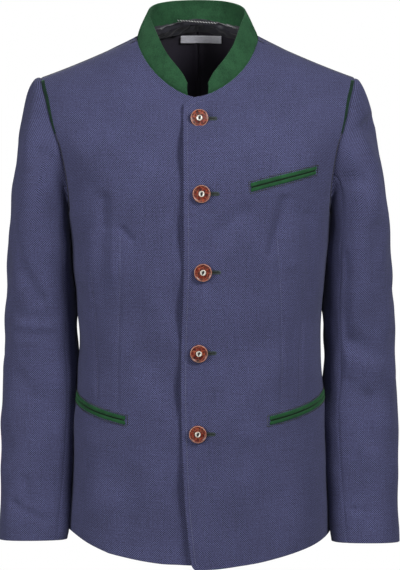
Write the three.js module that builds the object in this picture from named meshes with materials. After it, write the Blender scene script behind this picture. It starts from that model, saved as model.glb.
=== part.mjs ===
// Folk blazer: a single-breasted jacket with a green stand collar, five horn-look buttons, a welt breast
// pocket, two welt hip pockets and green inlays at the shoulders, hollow as when it is worn.
// Millimetres, +Z up. -Y is the front and +X is the wearer's left. The origin is midway between the neck
// ends of the two shoulder seams, on the line where the wearer's shoulders carry the jacket.
import * as THREE from "three";

// ---------------------------------------------------------------- driving dimensions
const BODY_CLOTH = 2.0; // wall of a body panel: cloth, interlining and lining pressed together
const SLEEVE_CLOTH = 1.6;
const COLLAR_CLOTH = 2.6;
const SEAM_GAP = 0.3; // between pieces that are sewn together
const NECK_HALF = 84.4; // from the centre to the neck end of the shoulder seam
const NECK_FRONT_DROP = 80.5;
const NECK_BACK_REACH = 61; // centre back of the neckline lies this far behind the shoulder seams
const NECK_POWER = 1.56; // a V is 1, an ellipse is 2
const LAP_NECK_FALL = 0.2; // past the centre the neckline falls towards the front edge
const SHOULDER_HALF = 219.3;
const SHOULDER_DROP = 56;
const RIDGE_Y = 4; // the shoulder seam and the widest line of the body lie this far behind the origin
const SLOPE_REACH = 200; // the shoulder slope fades out this far below the seam
const NAPE = { tilt: 0.62, width: 100, reach: 165 }; // the neck leans forward, so levels tilt there
const FRONT_FULLNESS = { reach: 190, power: 1.75 }; // how the chest rounds over into the shoulder
const BACK_FULLNESS = { reach: 150, power: 1.9, napePower: 1.6 };
const HEM_SIDE = -699;
const HEM_FRONT_DIP = 19.5;
const LEFT_HEM_EXTRA = 4.5; // the lapping left front hangs a little lower
const SIDE_SEAM_TURN = rad(8); // behind the widest line
const ARMPIT_LEVEL = -248;
const CHEST_LINE = -262; // the front edge up to here is level with the side below the armpit
const LAP_FULL = 24; // the lapping front stands off the other out to here,
const LAP_NONE = 60; // and lies level with it from here on
const LAP_LIFT = BODY_CLOTH + 1.1;
const UNDERLAP = 22; // how far the right front runs on under the left one
const COLLAR_END = 14.6; // the collar's ends stop this far from the centre

// The body, from below the hem to the shoulder: half its width, its depth before and behind the side,
// and how square it is: 2 is an ellipse and more is boxier.
const BODY = [
  { level: -745, half: 197, front: 147, back: 139, square: 2.2 },
  { level: -705, half: 193, front: 145, back: 137, square: 2.2 },
  { level: -662, half: 188, front: 143, back: 134, square: 2.25 },
  { level: -590, half: 183, front: 141, back: 129, square: 2.3 },
  { level: -515, half: 178.7, front: 139, back: 123, square: 2.35 },
  { level: -435, half: 171.2, front: 136, back: 116, square: 2.4 },
  { level: -370, half: 174.5, front: 138, back: 118, square: 2.45 },
  { level: -298, half: 181, front: 141, back: 124, square: 2.5 },
  { level: -250, half: 184, front: 140, back: 128, square: 2.5 },
  { level: -200, half: 194, front: 136, back: 129, square: 2.5 },
  { level: -150, half: 209, front: 131, back: 127, square: 2.5 },
  { level: -100, half: 225, front: 126, back: 123, square: 2.5 },
  { level: -50, half: 240, front: 122, back: 117, square: 2.5 },
  { level: 0, half: 250, front: 118, back: 112, square: 2.5 },
];
// The centre line leans a little towards the wearer's left below the shoulders.
const LEAN = [
  { z: -745, x: 2 },
  { z: -600, x: 2.8 },
  { z: -230, x: 2.8 },
  { z: -160, x: 2 },
  { z: -80, x: 0.4 },
  { z: 60, x: 0 },
];
// The front edge of the lapping left front, from the hem up.
const FRONT_EDGE = [
  { z: -730, x: -8 },
  { z: -700, x: -12 },
  { z: -640, x: -18.5 },
  { z: -560, x: -22.5 },
  { z: -480, x: -24.5 },
  { z: -400, x: -23.5 },
  { z: -320, x: -20.5 },
  { z: -200, x: -20.5 },
  { z: -80, x: -19.2 },
];
// The armhole seam seen from the front and from behind, from the armpit to the shoulder.
const ARMHOLE_FRONT = [
  { x: 181.8, z: -238 },
  { x: 182, z: -222 },
  { x: 183.6, z: -195 },
  { x: 190, z: -153 },
  { x: 197.5, z: -130 },
  { x: 209.5, z: -88 },
  { x: 216, z: -68 },
];
const ARMHOLE_BACK = [
  { x: 182, z: -232 },
  { x: 187, z: -205 },
  { x: 195, z: -160 },
  { x: 202.5, z: -125 },
  { x: 211.5, z: -88 },
  { x: 216.5, z: -68 },
];
// The collar's upper edge above each station of the neckline, from its front end over the shoulder seam
// to centre back.
const COLLAR_TOP = [
  { station: 0, x: 14.9, y: -73, z: -60.5 },
  { station: 1, x: 20.5, y: -70, z: -49 },
  { station: 2, x: 29.2, y: -66, z: -38 },
  { station: 3, x: 38.5, y: -58.5, z: -27 },
  { station: 4, x: 47.5, y: -48, z: -13.5 },
  { station: 5, x: 54.5, y: -35, z: 0.5 },
  { station: 6, x: 60.5, y: -20, z: 12.5 },
  { station: 7, x: 65.5, y: -5, z: 23 },
  { station: 8, x: 69.5, y: 9, z: 32 },
  { station: 9, x: 69, y: 19.5, z: 38 },
  { station: 10, x: 64.5, y: 29.5, z: 42.5 },
  { station: 11, x: 57.5, y: 38.5, z: 45.8 },
  { station: 12, x: 48, y: 46, z: 48 },
  { station: 13, x: 37, y: 51.5, z: 49.6 },
  { station: 14, x: 25, y: 55.3, z: 50.5 },
  { station: 15, x: 12.5, y: 57.6, z: 51 },
  { station: 16, x: 0, y: 58.4, z: 51.2 },
];
// A sleeve from cuff to biceps: its middle, half its width and depth, how much its front edge is pitched
// up, and how much its outer side is lifted above its armpit side.
const SLEEVE = [
  { z: -710, x: 239.6, y: -32, half: 46.6, deep: 49, pitch: 0.2, lift: 0 },
  { z: -656, x: 236, y: -22, half: 48.4, deep: 51, pitch: 0.17, lift: 0 },
  { z: -587, x: 232.8, y: -9, half: 51.3, deep: 55, pitch: 0.12, lift: 0 },
  { z: -516, x: 229.9, y: 1, half: 52.9, deep: 59, pitch: 0.06, lift: 0 },
  { z: -444, x: 227.6, y: 7, half: 51.4, deep: 64, pitch: 0.02, lift: 0 },
  { z: -372, x: 224.5, y: 9, half: 51, deep: 71, pitch: 0, lift: 0 },
  { z: -310, x: 225, y: 8, half: 46, deep: 79, pitch: 0, lift: 6 },
  { z: -266, x: 225.8, y: 6, half: 40.4, deep: 83, pitch: 0, lift: 22 },
];
const SLEEVE_CLEAR = 2; // where a sleeve rests against the body, it is bent round it this far off
const HEAD_FALL = { left: 1.95, right: 2.3 }; // the higher, the squarer the top of the sleeve
const HEAD_REACH = 10; // the cap leaves the armhole in the body's own direction at first
const CUFF_DROP = { left: 3.5, right: 0 }; // the left cuff hangs lower
const FRONT_SEAM = { left: 7, right: 6 }; // the sleeve's front seam, counted in columns from the armpit
const BACK_SEAM = 7; // and its back seam, counted in columns the other way

// Buttons, down the left front, and the lips of the pockets and of the shoulder inlays.
const BUTTONS = [
  { name: "button_1", x: 2.7, z: -102.6 },
  { name: "button_2", x: 5.5, z: -203 },
  { name: "button_3", x: 7.4, z: -309.5 },
  { name: "button_4", x: 2, z: -421.4 },
  { name: "button_5", x: 0.6, z: -532.3 },
];
// A button's profile from its shank to the hole of its eyelet: radius and height above the cloth.
const BUTTON_PROFILE = [
  { radius: 2.6, height: 0 },
  { radius: 2.6, height: 1.3 },
  { radius: 9.5, height: 1.5 },
  { radius: 12.2, height: 2.8 },
  { radius: 12.2, height: 4.3 },
  { radius: 10.6, height: 5.6 },
  { radius: 8.6, height: 5 },
  { radius: 3.4, height: 4.8 },
  { radius: 2.9, height: 5.7 },
  { radius: 1.4, height: 5.5 },
  { radius: 1.2, height: 4.4 },
];
const BUTTON_SIDES = 14;
const STAND = 0.5; // between a panel and what is sewn on top of it
const POCKETS = [
  { name: "breast_welt", side: 1, from: { x: 69, z: -198 }, to: { x: 158, z: -177.6 } },
  { name: "pocket_left_welt", side: 1, from: { x: 96, z: -519 }, to: { x: 175, z: -500 } },
  { name: "pocket_right_welt", side: -1, from: { x: 102.5, z: -519.5 }, to: { x: 175, z: -503 } },
];
const LIP = { high: 5.6, slit: 0.9, thick: 1.6 };
const INLAY = { length: 7, wide: 4.4, tip: 1.6, thick: 1.2 }; // length in steps of the armhole
const LINING = { thick: 1, gap: 0.4, hem: -335 };
const BAND = { thick: 0.8, wide: 13, end: rad(18), clear: 1.4 };
const LABEL = { left: -23, right: 37, top: 1.6, bottom: -9.4, thick: 0.6, clear: 2 };
const LOOP = { left: -24.5, right: 29.6, radius: 1.2, clear: 11.5, sag: 1.4 };

// ---------------------------------------------------------------- small helpers
function rad(degrees) {
  return (degrees * Math.PI) / 180;
}
function clamp(x, low, high) {
  return Math.min(high, Math.max(low, x));
}
function mix(a, b, t) {
  return a + (b - a) * t;
}
function count(n) {
  return Array.from({ length: n }, (_, i) => i);
}
// 0 below low, 1 above high, and an S between.
function ramp(low, high, x) {
  const t = clamp((x - low) / (high - low), 0, 1);
  return t * t * (3 - 2 * t);
}
// The quarter of a superellipse that falls from 1 at x = 0 to 0 at x = 1.
function quarter(x, power) {
  return Math.pow(Math.max(0, 1 - Math.pow(Math.abs(x), power)), 1 / power);
}
function vec(x, y, z) {
  return new THREE.Vector3(x, y, z);
}
function moved(p, direction, by) {
  return p.clone().addScaledVector(direction, by);
}
// A smooth function through a table's rows: cubic pieces whose slopes come from the neighbouring rows.
function curve(rows, by, of) {
  const xs = rows.map((row) => row[by]);
  const ys = rows.map((row) => row[of]);
  const last = xs.length - 1;
  const slopes = xs.map((_, i) => {
    const low = Math.max(i - 1, 0);
    const high = Math.min(i + 1, last);
    return (ys[high] - ys[low]) / (xs[high] - xs[low]);
  });
  return (at) => {
    const x = clamp(at, xs[0], xs[last]);
    let i = 0;
    while (i < last - 1 && x > xs[i + 1]) i++;
    const h = xs[i + 1] - xs[i];
    const t = (x - xs[i]) / h;
    const rise = t * t * (3 - 2 * t);
    const bends = slopes[i] * t * (1 - t) * (1 - t) - slopes[i + 1] * t * t * (1 - t);
    return ys[i] * (1 - rise) + ys[i + 1] * rise + h * bends;
  };
}
// The same for several columns of a table at once.
function curves(rows, by, columns) {
  const made = columns.map((column) => curve(rows, by, column));
  return (at) => Object.fromEntries(columns.map((column, i) => [column, made[i](at)]));
}

// ---------------------------------------------------------------- the garment's shape
const bodyAt = curves(BODY, "level", ["half", "front", "back", "square"]);
const leanAt = curve(LEAN, "z", "x");
const edgeAt = curve(FRONT_EDGE, "z", "x");

// From the frame that is the same on both sides to the garment's own; side is 1 for the wearer's left.
function worn(side, p) {
  return vec(side * p.x + leanAt(p.z), p.y, p.z);
}
// How far the shoulder seam has dropped at this distance from the centre; rounded across the neck.
function shoulderDrop(x) {
  const soft = 35;
  const from = Math.hypot(NECK_HALF, soft);
  return (SHOULDER_DROP * (Math.hypot(x, soft) - from)) / (Math.hypot(SHOULDER_HALF, soft) - from);
}
// How much of its depth the body has at this level: none at the shoulder seam.
function fullness(x, level, behind) {
  const reach = behind ? BACK_FULLNESS.reach : FRONT_FULLNESS.reach;
  const nape = ramp(150, 30, Math.abs(x));
  const power = behind ? mix(BACK_FULLNESS.power, BACK_FULLNESS.napePower, nape) : FRONT_FULLNESS.power;
  return quarter(1 - clamp(-level / reach, 0, 1), power);
}
// A point of the body's outer face. turn is the angle round it: 0 at the side, -90 degrees at centre
// front and 90 at centre back. level is a height that ignores the slope of the shoulders and the tilt of
// the neck: 0 is the shoulder seam, where front and back meet.
function shape(turn, level) {
  const { half, front, back, square } = bodyAt(level);
  const behind = Math.sin(turn) > 0;
  const c = Math.abs(Math.cos(turn) / half) ** square;
  const s = Math.abs(Math.sin(turn) / (behind ? back : front)) ** square;
  const r = (c + s) ** (-1 / square);
  const x = r * Math.cos(turn);
  const y = r * Math.sin(turn) * fullness(x, level, behind);
  const slope = shoulderDrop(x) * ramp(-SLOPE_REACH, 0, level);
  const tilt = NAPE.tilt * Math.exp(-((x / NAPE.width) ** 2)) * ramp(-NAPE.reach, -25, level);
  return vec(x, y + RIDGE_Y, level - slope + tilt * y);
}
function outward(spot) {
  const step = 0.004;
  const low = Math.min(spot.level, -0.8);
  const round = shape(spot.turn + step, low).sub(shape(spot.turn - step, low));
  const up = shape(spot.turn, low + 0.4).sub(shape(spot.turn, low - 0.4));
  const n = round.cross(up);
  if (onRidge(spot)) n.y = 0;
  return n.normalize();
}
function onRidge(spot) {
  return spot.level > -0.5;
}
// The spot moved out from the body by lift, in the frame that is the same on both sides. Spots on the
// shoulder seam keep half the seam's gap.
function lifted(spot, lift = 0) {
  const p = moved(shape(spot.turn, spot.level), outward(spot), lift);
  if (onRidge(spot)) p.y = RIDGE_Y + Math.sign(spot.turn) * (SEAM_GAP / 2);
  return p;
}
function turnAt(x, level, behind) {
  const { half, front, back, square } = bodyAt(level);
  return Math.atan2((behind ? back : -front) * quarter(x / half, square), x);
}
// The spot that is seen at x and z from the front, or from behind.
function seenAt(x, z, behind = false) {
  let level = Math.min(z, -0.005);
  for (let i = 0; i < 60; i++) {
    level = Math.min(level + 0.7 * (z - shape(turnAt(x, level, behind), level).z), -0.005);
  }
  return { turn: turnAt(x, level, behind), level };
}
// The spot behind the shoulder seam that is seen at x and y from above.
function aboveAt(x, y) {
  let low = -200;
  let high = -0.005;
  for (let i = 0; i < 50; i++) {
    const level = (low + high) / 2;
    if (shape(turnAt(x, level, true), level).y > y) low = level;
    else high = level;
  }
  return { turn: turnAt(x, high, true), level: high };
}
function ridgeAt(x, behind) {
  return { turn: turnAt(x, -0.005, behind), level: -0.005 };
}
function between(a, b, t) {
  return { turn: mix(a.turn, b.turn, t), level: mix(a.level, b.level, t) };
}
function hemLevel(turn, side) {
  const forward = Math.max(0, -Math.sin(turn));
  const extra = side > 0 ? LEFT_HEM_EXTRA * forward ** 1.5 : 0;
  return HEM_SIDE - HEM_FRONT_DIP * forward ** 2 - extra;
}
// The lapping left front stands off the right one near the centre, and is level with it further out.
function lapLift(side, x) {
  return side > 0 ? LAP_LIFT * ramp(LAP_NONE, LAP_FULL, x) : 0;
}
function neckZ(x) {
  if (x < 0) return -NECK_FRONT_DROP + LAP_NECK_FALL * x;
  return -NECK_FRONT_DROP * quarter(x / NECK_HALF, NECK_POWER);
}

// ---------------------------------------------------------------- solids
// A closed wall between an outer and an inner grid of points of the same size.
function wall(outer, inner) {
  const rows = outer.length;
  const columns = outer[0].length;
  const points = [...outer.flat(), ...inner.flat()];
  const out = (i, j) => i * columns + j;
  const into = (i, j) => rows * columns + i * columns + j;
  const faces = [];
  const quad = (a, b, c, d) => faces.push(a, b, c, a, c, d);
  for (let i = 0; i < rows - 1; i++) {
    for (let j = 0; j < columns - 1; j++) {
      quad(out(i, j), out(i, j + 1), out(i + 1, j + 1), out(i + 1, j));
      quad(into(i, j), into(i + 1, j), into(i + 1, j + 1), into(i, j + 1));
    }
    quad(out(i, 0), out(i + 1, 0), into(i + 1, 0), into(i, 0));
    quad(out(i, columns - 1), into(i, columns - 1), into(i + 1, columns - 1), out(i + 1, columns - 1));
  }
  for (let j = 0; j < columns - 1; j++) {
    quad(out(0, j), into(0, j), into(0, j + 1), out(0, j + 1));
    quad(out(rows - 1, j), out(rows - 1, j + 1), into(rows - 1, j + 1), into(rows - 1, j));
  }
  return geometryOf(points, faces);
}
// A closed bar: rings of points, the same number in each, with a flat cap at each end.
function bar(rings) {
  const n = rings[0].length;
  const end = (rings.length - 1) * n;
  const faces = [];
  for (let i = 0; i < rings.length - 1; i++) {
    for (let j = 0; j < n; j++) {
      const k = (j + 1) % n;
      faces.push(i * n + j, i * n + k, (i + 1) * n + k, i * n + j, (i + 1) * n + k, (i + 1) * n + j);
    }
  }
  for (let j = 1; j < n - 1; j++) faces.push(0, j + 1, j, end, end + j, end + j + 1);
  return geometryOf(rings.flat(), faces);
}
// The faces are turned round together if they point inwards.
function geometryOf(points, faces) {
  let volume = 0;
  for (let i = 0; i < faces.length; i += 3) {
    const [a, b, c] = [points[faces[i]], points[faces[i + 1]], points[faces[i + 2]]];
    volume += a.dot(b.clone().cross(c));
  }
  const geometry = new THREE.BufferGeometry().setFromPoints(points);
  geometry.setIndex(volume > 0 ? faces : faces.slice().reverse());
  geometry.computeVertexNormals();
  return geometry;
}
// The direction out of a grid of points at row i and column j; closed grids join their last column to
// the first.
function gridNormal(grid, i, j, closed) {
  const rows = grid.length;
  const columns = grid[0].length;
  const left = closed ? (j + columns - 1) % columns : Math.max(j - 1, 0);
  const right = closed ? (j + 1) % columns : Math.min(j + 1, columns - 1);
  const across = grid[i][right].clone().sub(grid[i][left]);
  const along = grid[Math.min(i + 1, rows - 1)][j].clone().sub(grid[Math.max(i - 1, 0)][j]);
  return across.cross(along).normalize();
}
const blazer = new THREE.Group();
function add(name, geometry, material) {
  const mesh = new THREE.Mesh(geometry, material);
  mesh.name = name;
  blazer.add(mesh);
}
const cloth = (color, roughness) => new THREE.MeshStandardMaterial({ color, roughness, metalness: 0 });
const BLUE = cloth(0x4a4c6e, 0.9);
const GREEN = cloth(0x2c6238, 0.95);
const BLACK = cloth(0x17161d, 0.5);
const GREY = cloth(0xa9a8b0, 0.6);
const HORN = cloth(0x9a3d26, 0.3);
const SILVER = new THREE.MeshStandardMaterial({ color: 0xb9b9b9, roughness: 0.4, metalness: 0.6 });

// ---------------------------------------------------------------- seams that two pieces share
const ROWS = { lower: 10, frontChest: 8, backChest: 6, frontNeck: 11, backNeck: 8 };
const FRONT_COLUMNS = 15;
const BACK_COLUMNS = 9;
const STATIONS = 8; // of the neckline, from the collar's end to the shoulder and again to centre back

// The stations of the front neckline lie closer together where it turns up to the shoulder.
const FRONT_NECK = count(STATIONS + 1).map((i) => {
  const x = mix(COLLAR_END, NECK_HALF, Math.sin((i / STATIONS) * (Math.PI / 2)));
  return i < STATIONS ? seenAt(x, neckZ(x)) : ridgeAt(NECK_HALF, false);
});
const BACK_NECK = count(STATIONS + 1).map((i) => {
  const a = (i / STATIONS) * (Math.PI / 2);
  const y = RIDGE_Y + NECK_BACK_REACH * Math.sin(a);
  return i > 0 ? aboveAt(NECK_HALF * Math.cos(a), y) : ridgeAt(NECK_HALF, true);
});
// An armhole from the armpit to the shoulder: steps + 1 spots spaced evenly along the seam.
function armhole(rows, behind, steps) {
  const spots = [{ turn: SIDE_SEAM_TURN, level: ARMPIT_LEVEL }];
  rows.forEach((row) => spots.push(seenAt(row.x, row.z, behind)));
  spots.push(ridgeAt(SHOULDER_HALF, behind));
  const girth = 150; // turns a change of angle into a length
  const flat = spots.map((s) => vec(s.turn * girth, s.level, 0));
  const line = new THREE.CatmullRomCurve3(flat, false, "centripetal");
  return line.getSpacedPoints(steps).map((p) => ({ turn: p.x / girth, level: p.y }));
}
const FRONT_ARM = armhole(ARMHOLE_FRONT, false, ROWS.frontChest + ROWS.frontNeck);
const BACK_ARM = armhole(ARMHOLE_BACK, true, ROWS.backChest + ROWS.backNeck);

// A row of spots sewn to another piece: for each, the outer and inner corner of the edge, moved off
// by the seam's gap. away is 1 or -1, for the side of the line on which the other piece lies.
function seamEdge(spots, away, lift = () => 0) {
  return spots.map((spot, i) => {
    const before = lifted(spots[Math.max(i - 1, 0)]);
    const after = lifted(spots[Math.min(i + 1, spots.length - 1)]);
    const normal = outward(spot);
    const off = after.sub(before).cross(normal).normalize().multiplyScalar(away * SEAM_GAP);
    const stand = lift(spot);
    const outer = lifted(spot, stand).add(off);
    return { outer, inner: lifted(spot, stand - BODY_CLOTH).add(off), off: off.normalize() };
  });
}

// ---------------------------------------------------------------- fronts and backs
// Rows run from near, at the centre or the neckline, to far, at the side seam or the armhole.
function panel(side, near, far, columns, ease, hem, lift) {
  const outer = [];
  const inner = [];
  near.forEach((start, i) => {
    const low = clamp(1 - i / ROWS.lower, 0, 1);
    const spots = count(columns + 1).map((j) => {
      const t = ease(j / columns);
      const spot = between(start, far[i], t);
      const straight = mix(hem(near[0].turn), hem(far[0].turn), t);
      return { turn: spot.turn, level: spot.level + low * (hem(spot.turn) - straight) };
    });
    outer.push(spots.map((spot) => worn(side, lifted(spot, lift(spot)))));
    inner.push(spots.map((spot) => worn(side, lifted(spot, lift(spot) - BODY_CLOTH))));
  });
  return wall(outer, inner);
}
// Rows between hem and chest line sit a little closer together at the hem.
function climb(i) {
  const t = i / ROWS.lower;
  return t * (0.8 + 0.2 * t);
}
function sideSeam(arm, gap, hem) {
  const turn = SIDE_SEAM_TURN + gap;
  const low = count(ROWS.lower).map((i) => ({ turn, level: mix(hem(turn), ARMPIT_LEVEL, climb(i)) }));
  return [...low, { turn, level: arm[0].level }, ...arm.slice(1)];
}
const HALF_GAP_TURN = SEAM_GAP / 2 / 184;

function front(side) {
  const hem = (turn) => hemLevel(turn, side);
  const edge = (z) => (side > 0 ? edgeAt(z) : -UNDERLAP);
  const corner = 4;
  const top = neckZ(edge(-NECK_FRONT_DROP)) - corner;
  const near = [];
  for (let i = 0; i < ROWS.lower; i++) {
    const z = mix(hem(-Math.PI / 2), CHEST_LINE, climb(i));
    near.push(seenAt(edge(z) + (i === 0 ? 3 : 0), z));
  }
  for (let i = 0; i < ROWS.frontChest; i++) {
    const z = mix(CHEST_LINE, top, i / (ROWS.frontChest - 1));
    near.push(seenAt(edge(z), z));
  }
  const over = edge(top) + corner * 0.8;
  [over, over * 0.55, 0].forEach((x) => near.push(seenAt(x, neckZ(x))));
  near.push(...FRONT_NECK);
  const far = sideSeam(FRONT_ARM, -HALF_GAP_TURN, hem);
  const ease = (t) => t * (0.85 + 0.15 * t);
  return panel(side, near, far, FRONT_COLUMNS, ease, hem, (spot) => frontLift(side, spot));
}
function frontLift(side, spot) {
  return lapLift(side, shape(spot.turn, spot.level).x);
}
const backHem = (turn) => hemLevel(turn, -1);
// The spots down the centre back and round the neckline, from the hem up; turns stop at centre.
function backNear(centre) {
  const hem = backHem;
  const nape = BACK_NECK[STATIONS].level;
  const near = [];
  for (let i = 0; i < ROWS.lower; i++) {
    near.push({ turn: centre, level: mix(hem(centre), ARMPIT_LEVEL, climb(i)) });
  }
  for (let i = 0; i < ROWS.backChest; i++) {
    const t = 1 - (1 - i / ROWS.backChest) ** 1.7;
    near.push({ turn: centre, level: mix(ARMPIT_LEVEL, nape, t) });
  }
  BACK_NECK.slice().reverse().forEach((s) => near.push({ turn: Math.min(s.turn, centre), level: s.level }));
  return near;
}
function back(side) {
  const near = backNear(Math.PI / 2 - SEAM_GAP / 2 / 125);
  const far = sideSeam(BACK_ARM, HALF_GAP_TURN, backHem);
  return panel(side, near, far, BACK_COLUMNS, (t) => t, backHem, () => 0);
}
add("front_left", front(1), BLUE);
add("front_right", front(-1), BLUE);
add("back_left", back(1), BLUE);
add("back_right", back(-1), BLUE);

// ---------------------------------------------------------------- sleeves
const SLEEVE_ROWS = 11; // cuff to biceps
const CAP_ROWS = 7; // biceps to armhole
const sleeveAt = curves(SLEEVE, "z", ["x", "y", "half", "deep", "pitch", "lift"]);
const sideName = (side) => (side > 0 ? "left" : "right");

// The armhole all round: from the armpit up the front to the shoulder, and down the back.
const ARM_LOOP = (() => {
  const rise = seamEdge(FRONT_ARM, 1);
  const fall = seamEdge(BACK_ARM, -1);
  return [...rise, ...fall.slice(1, -1).reverse()];
})();
// The angle round the sleeve of each column: the armpit's lies as far back as the side seam.
const ARM_ANGLES = (() => {
  const low = SLEEVE[SLEEVE.length - 1];
  const start = -Math.asin((ARM_LOOP[0].outer.y - low.y) / low.deep);
  const rise = FRONT_ARM.length - 1;
  const fall = BACK_ARM.length - 1;
  const front = count(rise).map((k) => mix(start, Math.PI, k / rise));
  return [...front, ...count(fall).map((k) => mix(Math.PI, start + 2 * Math.PI, k / fall))];
})();
function sleeveRing(side, z) {
  const row = sleeveAt(z);
  const drop = CUFF_DROP[sideName(side)] * ramp(-300, -710, z);
  return ARM_ANGLES.map((a) => {
    const out = -Math.cos(a);
    const ahead = Math.sin(a);
    const rise = row.pitch * row.deep * ahead + row.lift * Math.max(0, (1 + out) / 2);
    return clearOfBody(vec(row.x + row.half * out, row.y - row.deep * ahead, z + rise - drop));
  });
}
function clearOfBody(p) {
  const { half, front, back, square } = bodyAt(p.z);
  const y = p.y - RIDGE_Y;
  const side = half * quarter(Math.min(1, Math.abs(y) / (y < 0 ? front : back)), square);
  return vec(Math.max(p.x, side + SLEEVE_CLEAR), p.y, p.z);
}
// From the armhole the cloth runs outward first and then ever more steeply down to the biceps.
function sleeve(side) {
  const biceps = SLEEVE[SLEEVE.length - 1].z;
  const outer = count(SLEEVE_ROWS + 1).map((i) =>
    sleeveRing(side, mix(SLEEVE[0].z, biceps, i / SLEEVE_ROWS)),
  );
  const low = outer[SLEEVE_ROWS];
  for (let i = 1; i <= CAP_ROWS; i++) {
    const t = 1 - i / CAP_ROWS;
    outer.push(
      low.map((end, k) => {
        const { outer: start, off } = ARM_LOOP[k];
        const a = ARM_ANGLES[k];
        const settle = 1 + 0.8 * Math.sin(a) ** 2 + 1.5 * Math.max(0, Math.cos(a)) ** 2;
        const across = 1 - (1 - t) ** settle;
        const down = t ** HEAD_FALL[sideName(side)];
        const p = vec(mix(start.x, end.x, across), mix(start.y, end.y, across), mix(start.z, end.z, down));
        return moved(p, off, HEAD_REACH * t * (1 - t) ** 2);
      }),
    );
  }
  const last = outer.length - 1;
  const inner = outer.map((ring, i) =>
    ring.map((p, k) =>
      i === last ? ARM_LOOP[k].inner : moved(p, gridNormal(outer, i, k, true), -SLEEVE_CLOTH),
    ),
  );
  return { outer, inner };
}
// The columns from one seam to the next, with half the seam's gap taken off at each.
function strip(side, grid, from, to) {
  const n = grid.outer[0].length;
  const cut = (rings) =>
    rings.map((ring) =>
      count(to - from + 1).map((j) => {
        const k = (from + j) % n;
        const toward = j === 0 ? ring[(k + 1) % n] : j === to - from ? ring[(k + n - 1) % n] : ring[k];
        const step = toward.clone().sub(ring[k]);
        const p = step.length() > 0 ? moved(ring[k], step.normalize(), SEAM_GAP / 2) : ring[k];
        return worn(side, p);
      }),
    );
  return wall(cut(grid.outer), cut(grid.inner));
}
for (const side of [1, -1]) {
  const name = sideName(side);
  const grid = sleeve(side);
  const n = ARM_LOOP.length;
  add("top_sleeve_" + name, strip(side, grid, FRONT_SEAM[name], n - BACK_SEAM), BLUE);
  add("under_sleeve_" + name, strip(side, grid, n - BACK_SEAM, n + FRONT_SEAM[name]), BLUE);
}

// ---------------------------------------------------------------- collar
const collarTop = curves(COLLAR_TOP, "station", ["x", "y", "z"]);
const COLLAR_ROWS = 3;

function collar() {
  const half = (side) => {
    const edge = [
      ...seamEdge(FRONT_NECK, -1, (spot) => frontLift(side, spot)),
      ...seamEdge(BACK_NECK, -1).slice(1),
    ];
    return edge.map(({ outer, inner }, i) => {
      const { x, y, z } = collarTop(i);
      const stand = side > 0 ? LAP_LIFT * ramp(4, 0, i) : 0;
      return { outer: worn(side, outer), inner: worn(side, inner), top: worn(side, vec(x, y - stand, z)) };
    });
  };
  const round = [...half(-1), ...half(1).slice(0, -1).reverse()];
  const outer = count(COLLAR_ROWS + 1).map((i) =>
    round.map(({ outer: foot, top }) => foot.clone().lerp(top, i / COLLAR_ROWS)),
  );
  const inner = outer.map((row, i) =>
    row.map((p, j) => (i === 0 ? round[j].inner : moved(p, gridNormal(outer, i, j, false), COLLAR_CLOTH))),
  );
  return wall(outer, inner);
}
add("collar", collar(), GREEN);

// ---------------------------------------------------------------- pockets and shoulder inlays
// A pocket's two lips lie along a line on the front, one above and one below its slit.
function lip({ side, from, to }, up) {
  const a = seenAt(from.x, from.z);
  const b = seenAt(to.x, to.z);
  const rise = [0, 0.5, 1].map((v) => up * (LIP.slit / 2 + v * LIP.high));
  const at = (v, j, height) => {
    const spot = between(a, b, j / 8);
    const moved = { turn: spot.turn, level: spot.level + v };
    return worn(side, lifted(moved, frontLift(side, moved) + height));
  };
  const crown = [0.75, 1, 0.6];
  const outer = rise.map((v, i) => count(9).map((j) => at(v, j, STAND + LIP.thick * crown[i])));
  const inner = rise.map((v) => count(9).map((j) => at(v, j, STAND)));
  return wall(outer, inner);
}
POCKETS.forEach((pocket) => {
  add(pocket.name + "_upper", lip(pocket, 1), GREEN);
  add(pocket.name + "_lower", lip(pocket, -1), GREEN);
});
// A double piping let in beside the armhole seam, from the shoulder down; it narrows towards its tip.
function inlay(side) {
  const first = FRONT_ARM.length - 1 - INLAY.length;
  const spots = FRONT_ARM.slice(first);
  const seam = seamEdge(FRONT_ARM, 1).slice(first);
  const section = [
    { across: 0, height: 0.6 },
    { across: 0.25, height: 1 },
    { across: 0.5, height: 0.45 },
    { across: 0.75, height: 1 },
    { across: 1, height: 0.6 },
  ];
  const row = ({ across }, height) =>
    spots.map((spot, i) => {
      const wide = mix(INLAY.tip, INLAY.wide, ramp(0, INLAY.length * 0.7, i));
      return worn(side, moved(lifted(spot, STAND + height), seam[i].off, -0.6 - across * wide));
    });
  return wall(
    section.map((point) => row(point, INLAY.thick * point.height)),
    section.map((point) => row(point, 0)),
  );
}
add("shoulder_inlay_left", inlay(1), GREEN);
add("shoulder_inlay_right", inlay(-1), GREEN);

// ---------------------------------------------------------------- buttons
function button({ x, z }) {
  const spot = seenAt(Math.abs(x - leanAt(z)), z);
  const side = Math.sign(x - leanAt(z));
  const foot = worn(1, lifted(spot, LAP_LIFT + STAND).setX(side * shape(spot.turn, spot.level).x));
  const out = outward(spot).multiply(vec(side, 1, 1));
  const right = vec(0, 0, 1).cross(out).normalize();
  const up = out.clone().cross(right);
  const rings = BUTTON_PROFILE.map(({ radius, height }) =>
    count(BUTTON_SIDES).map((k) => {
      const a = (k / BUTTON_SIDES) * 2 * Math.PI;
      return moved(moved(moved(foot, out, height), right, radius * Math.cos(a)), up, radius * Math.sin(a));
    }),
  );
  return bar(rings);
}
BUTTONS.forEach((row) => add(row.name, button(row), HORN));

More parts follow.
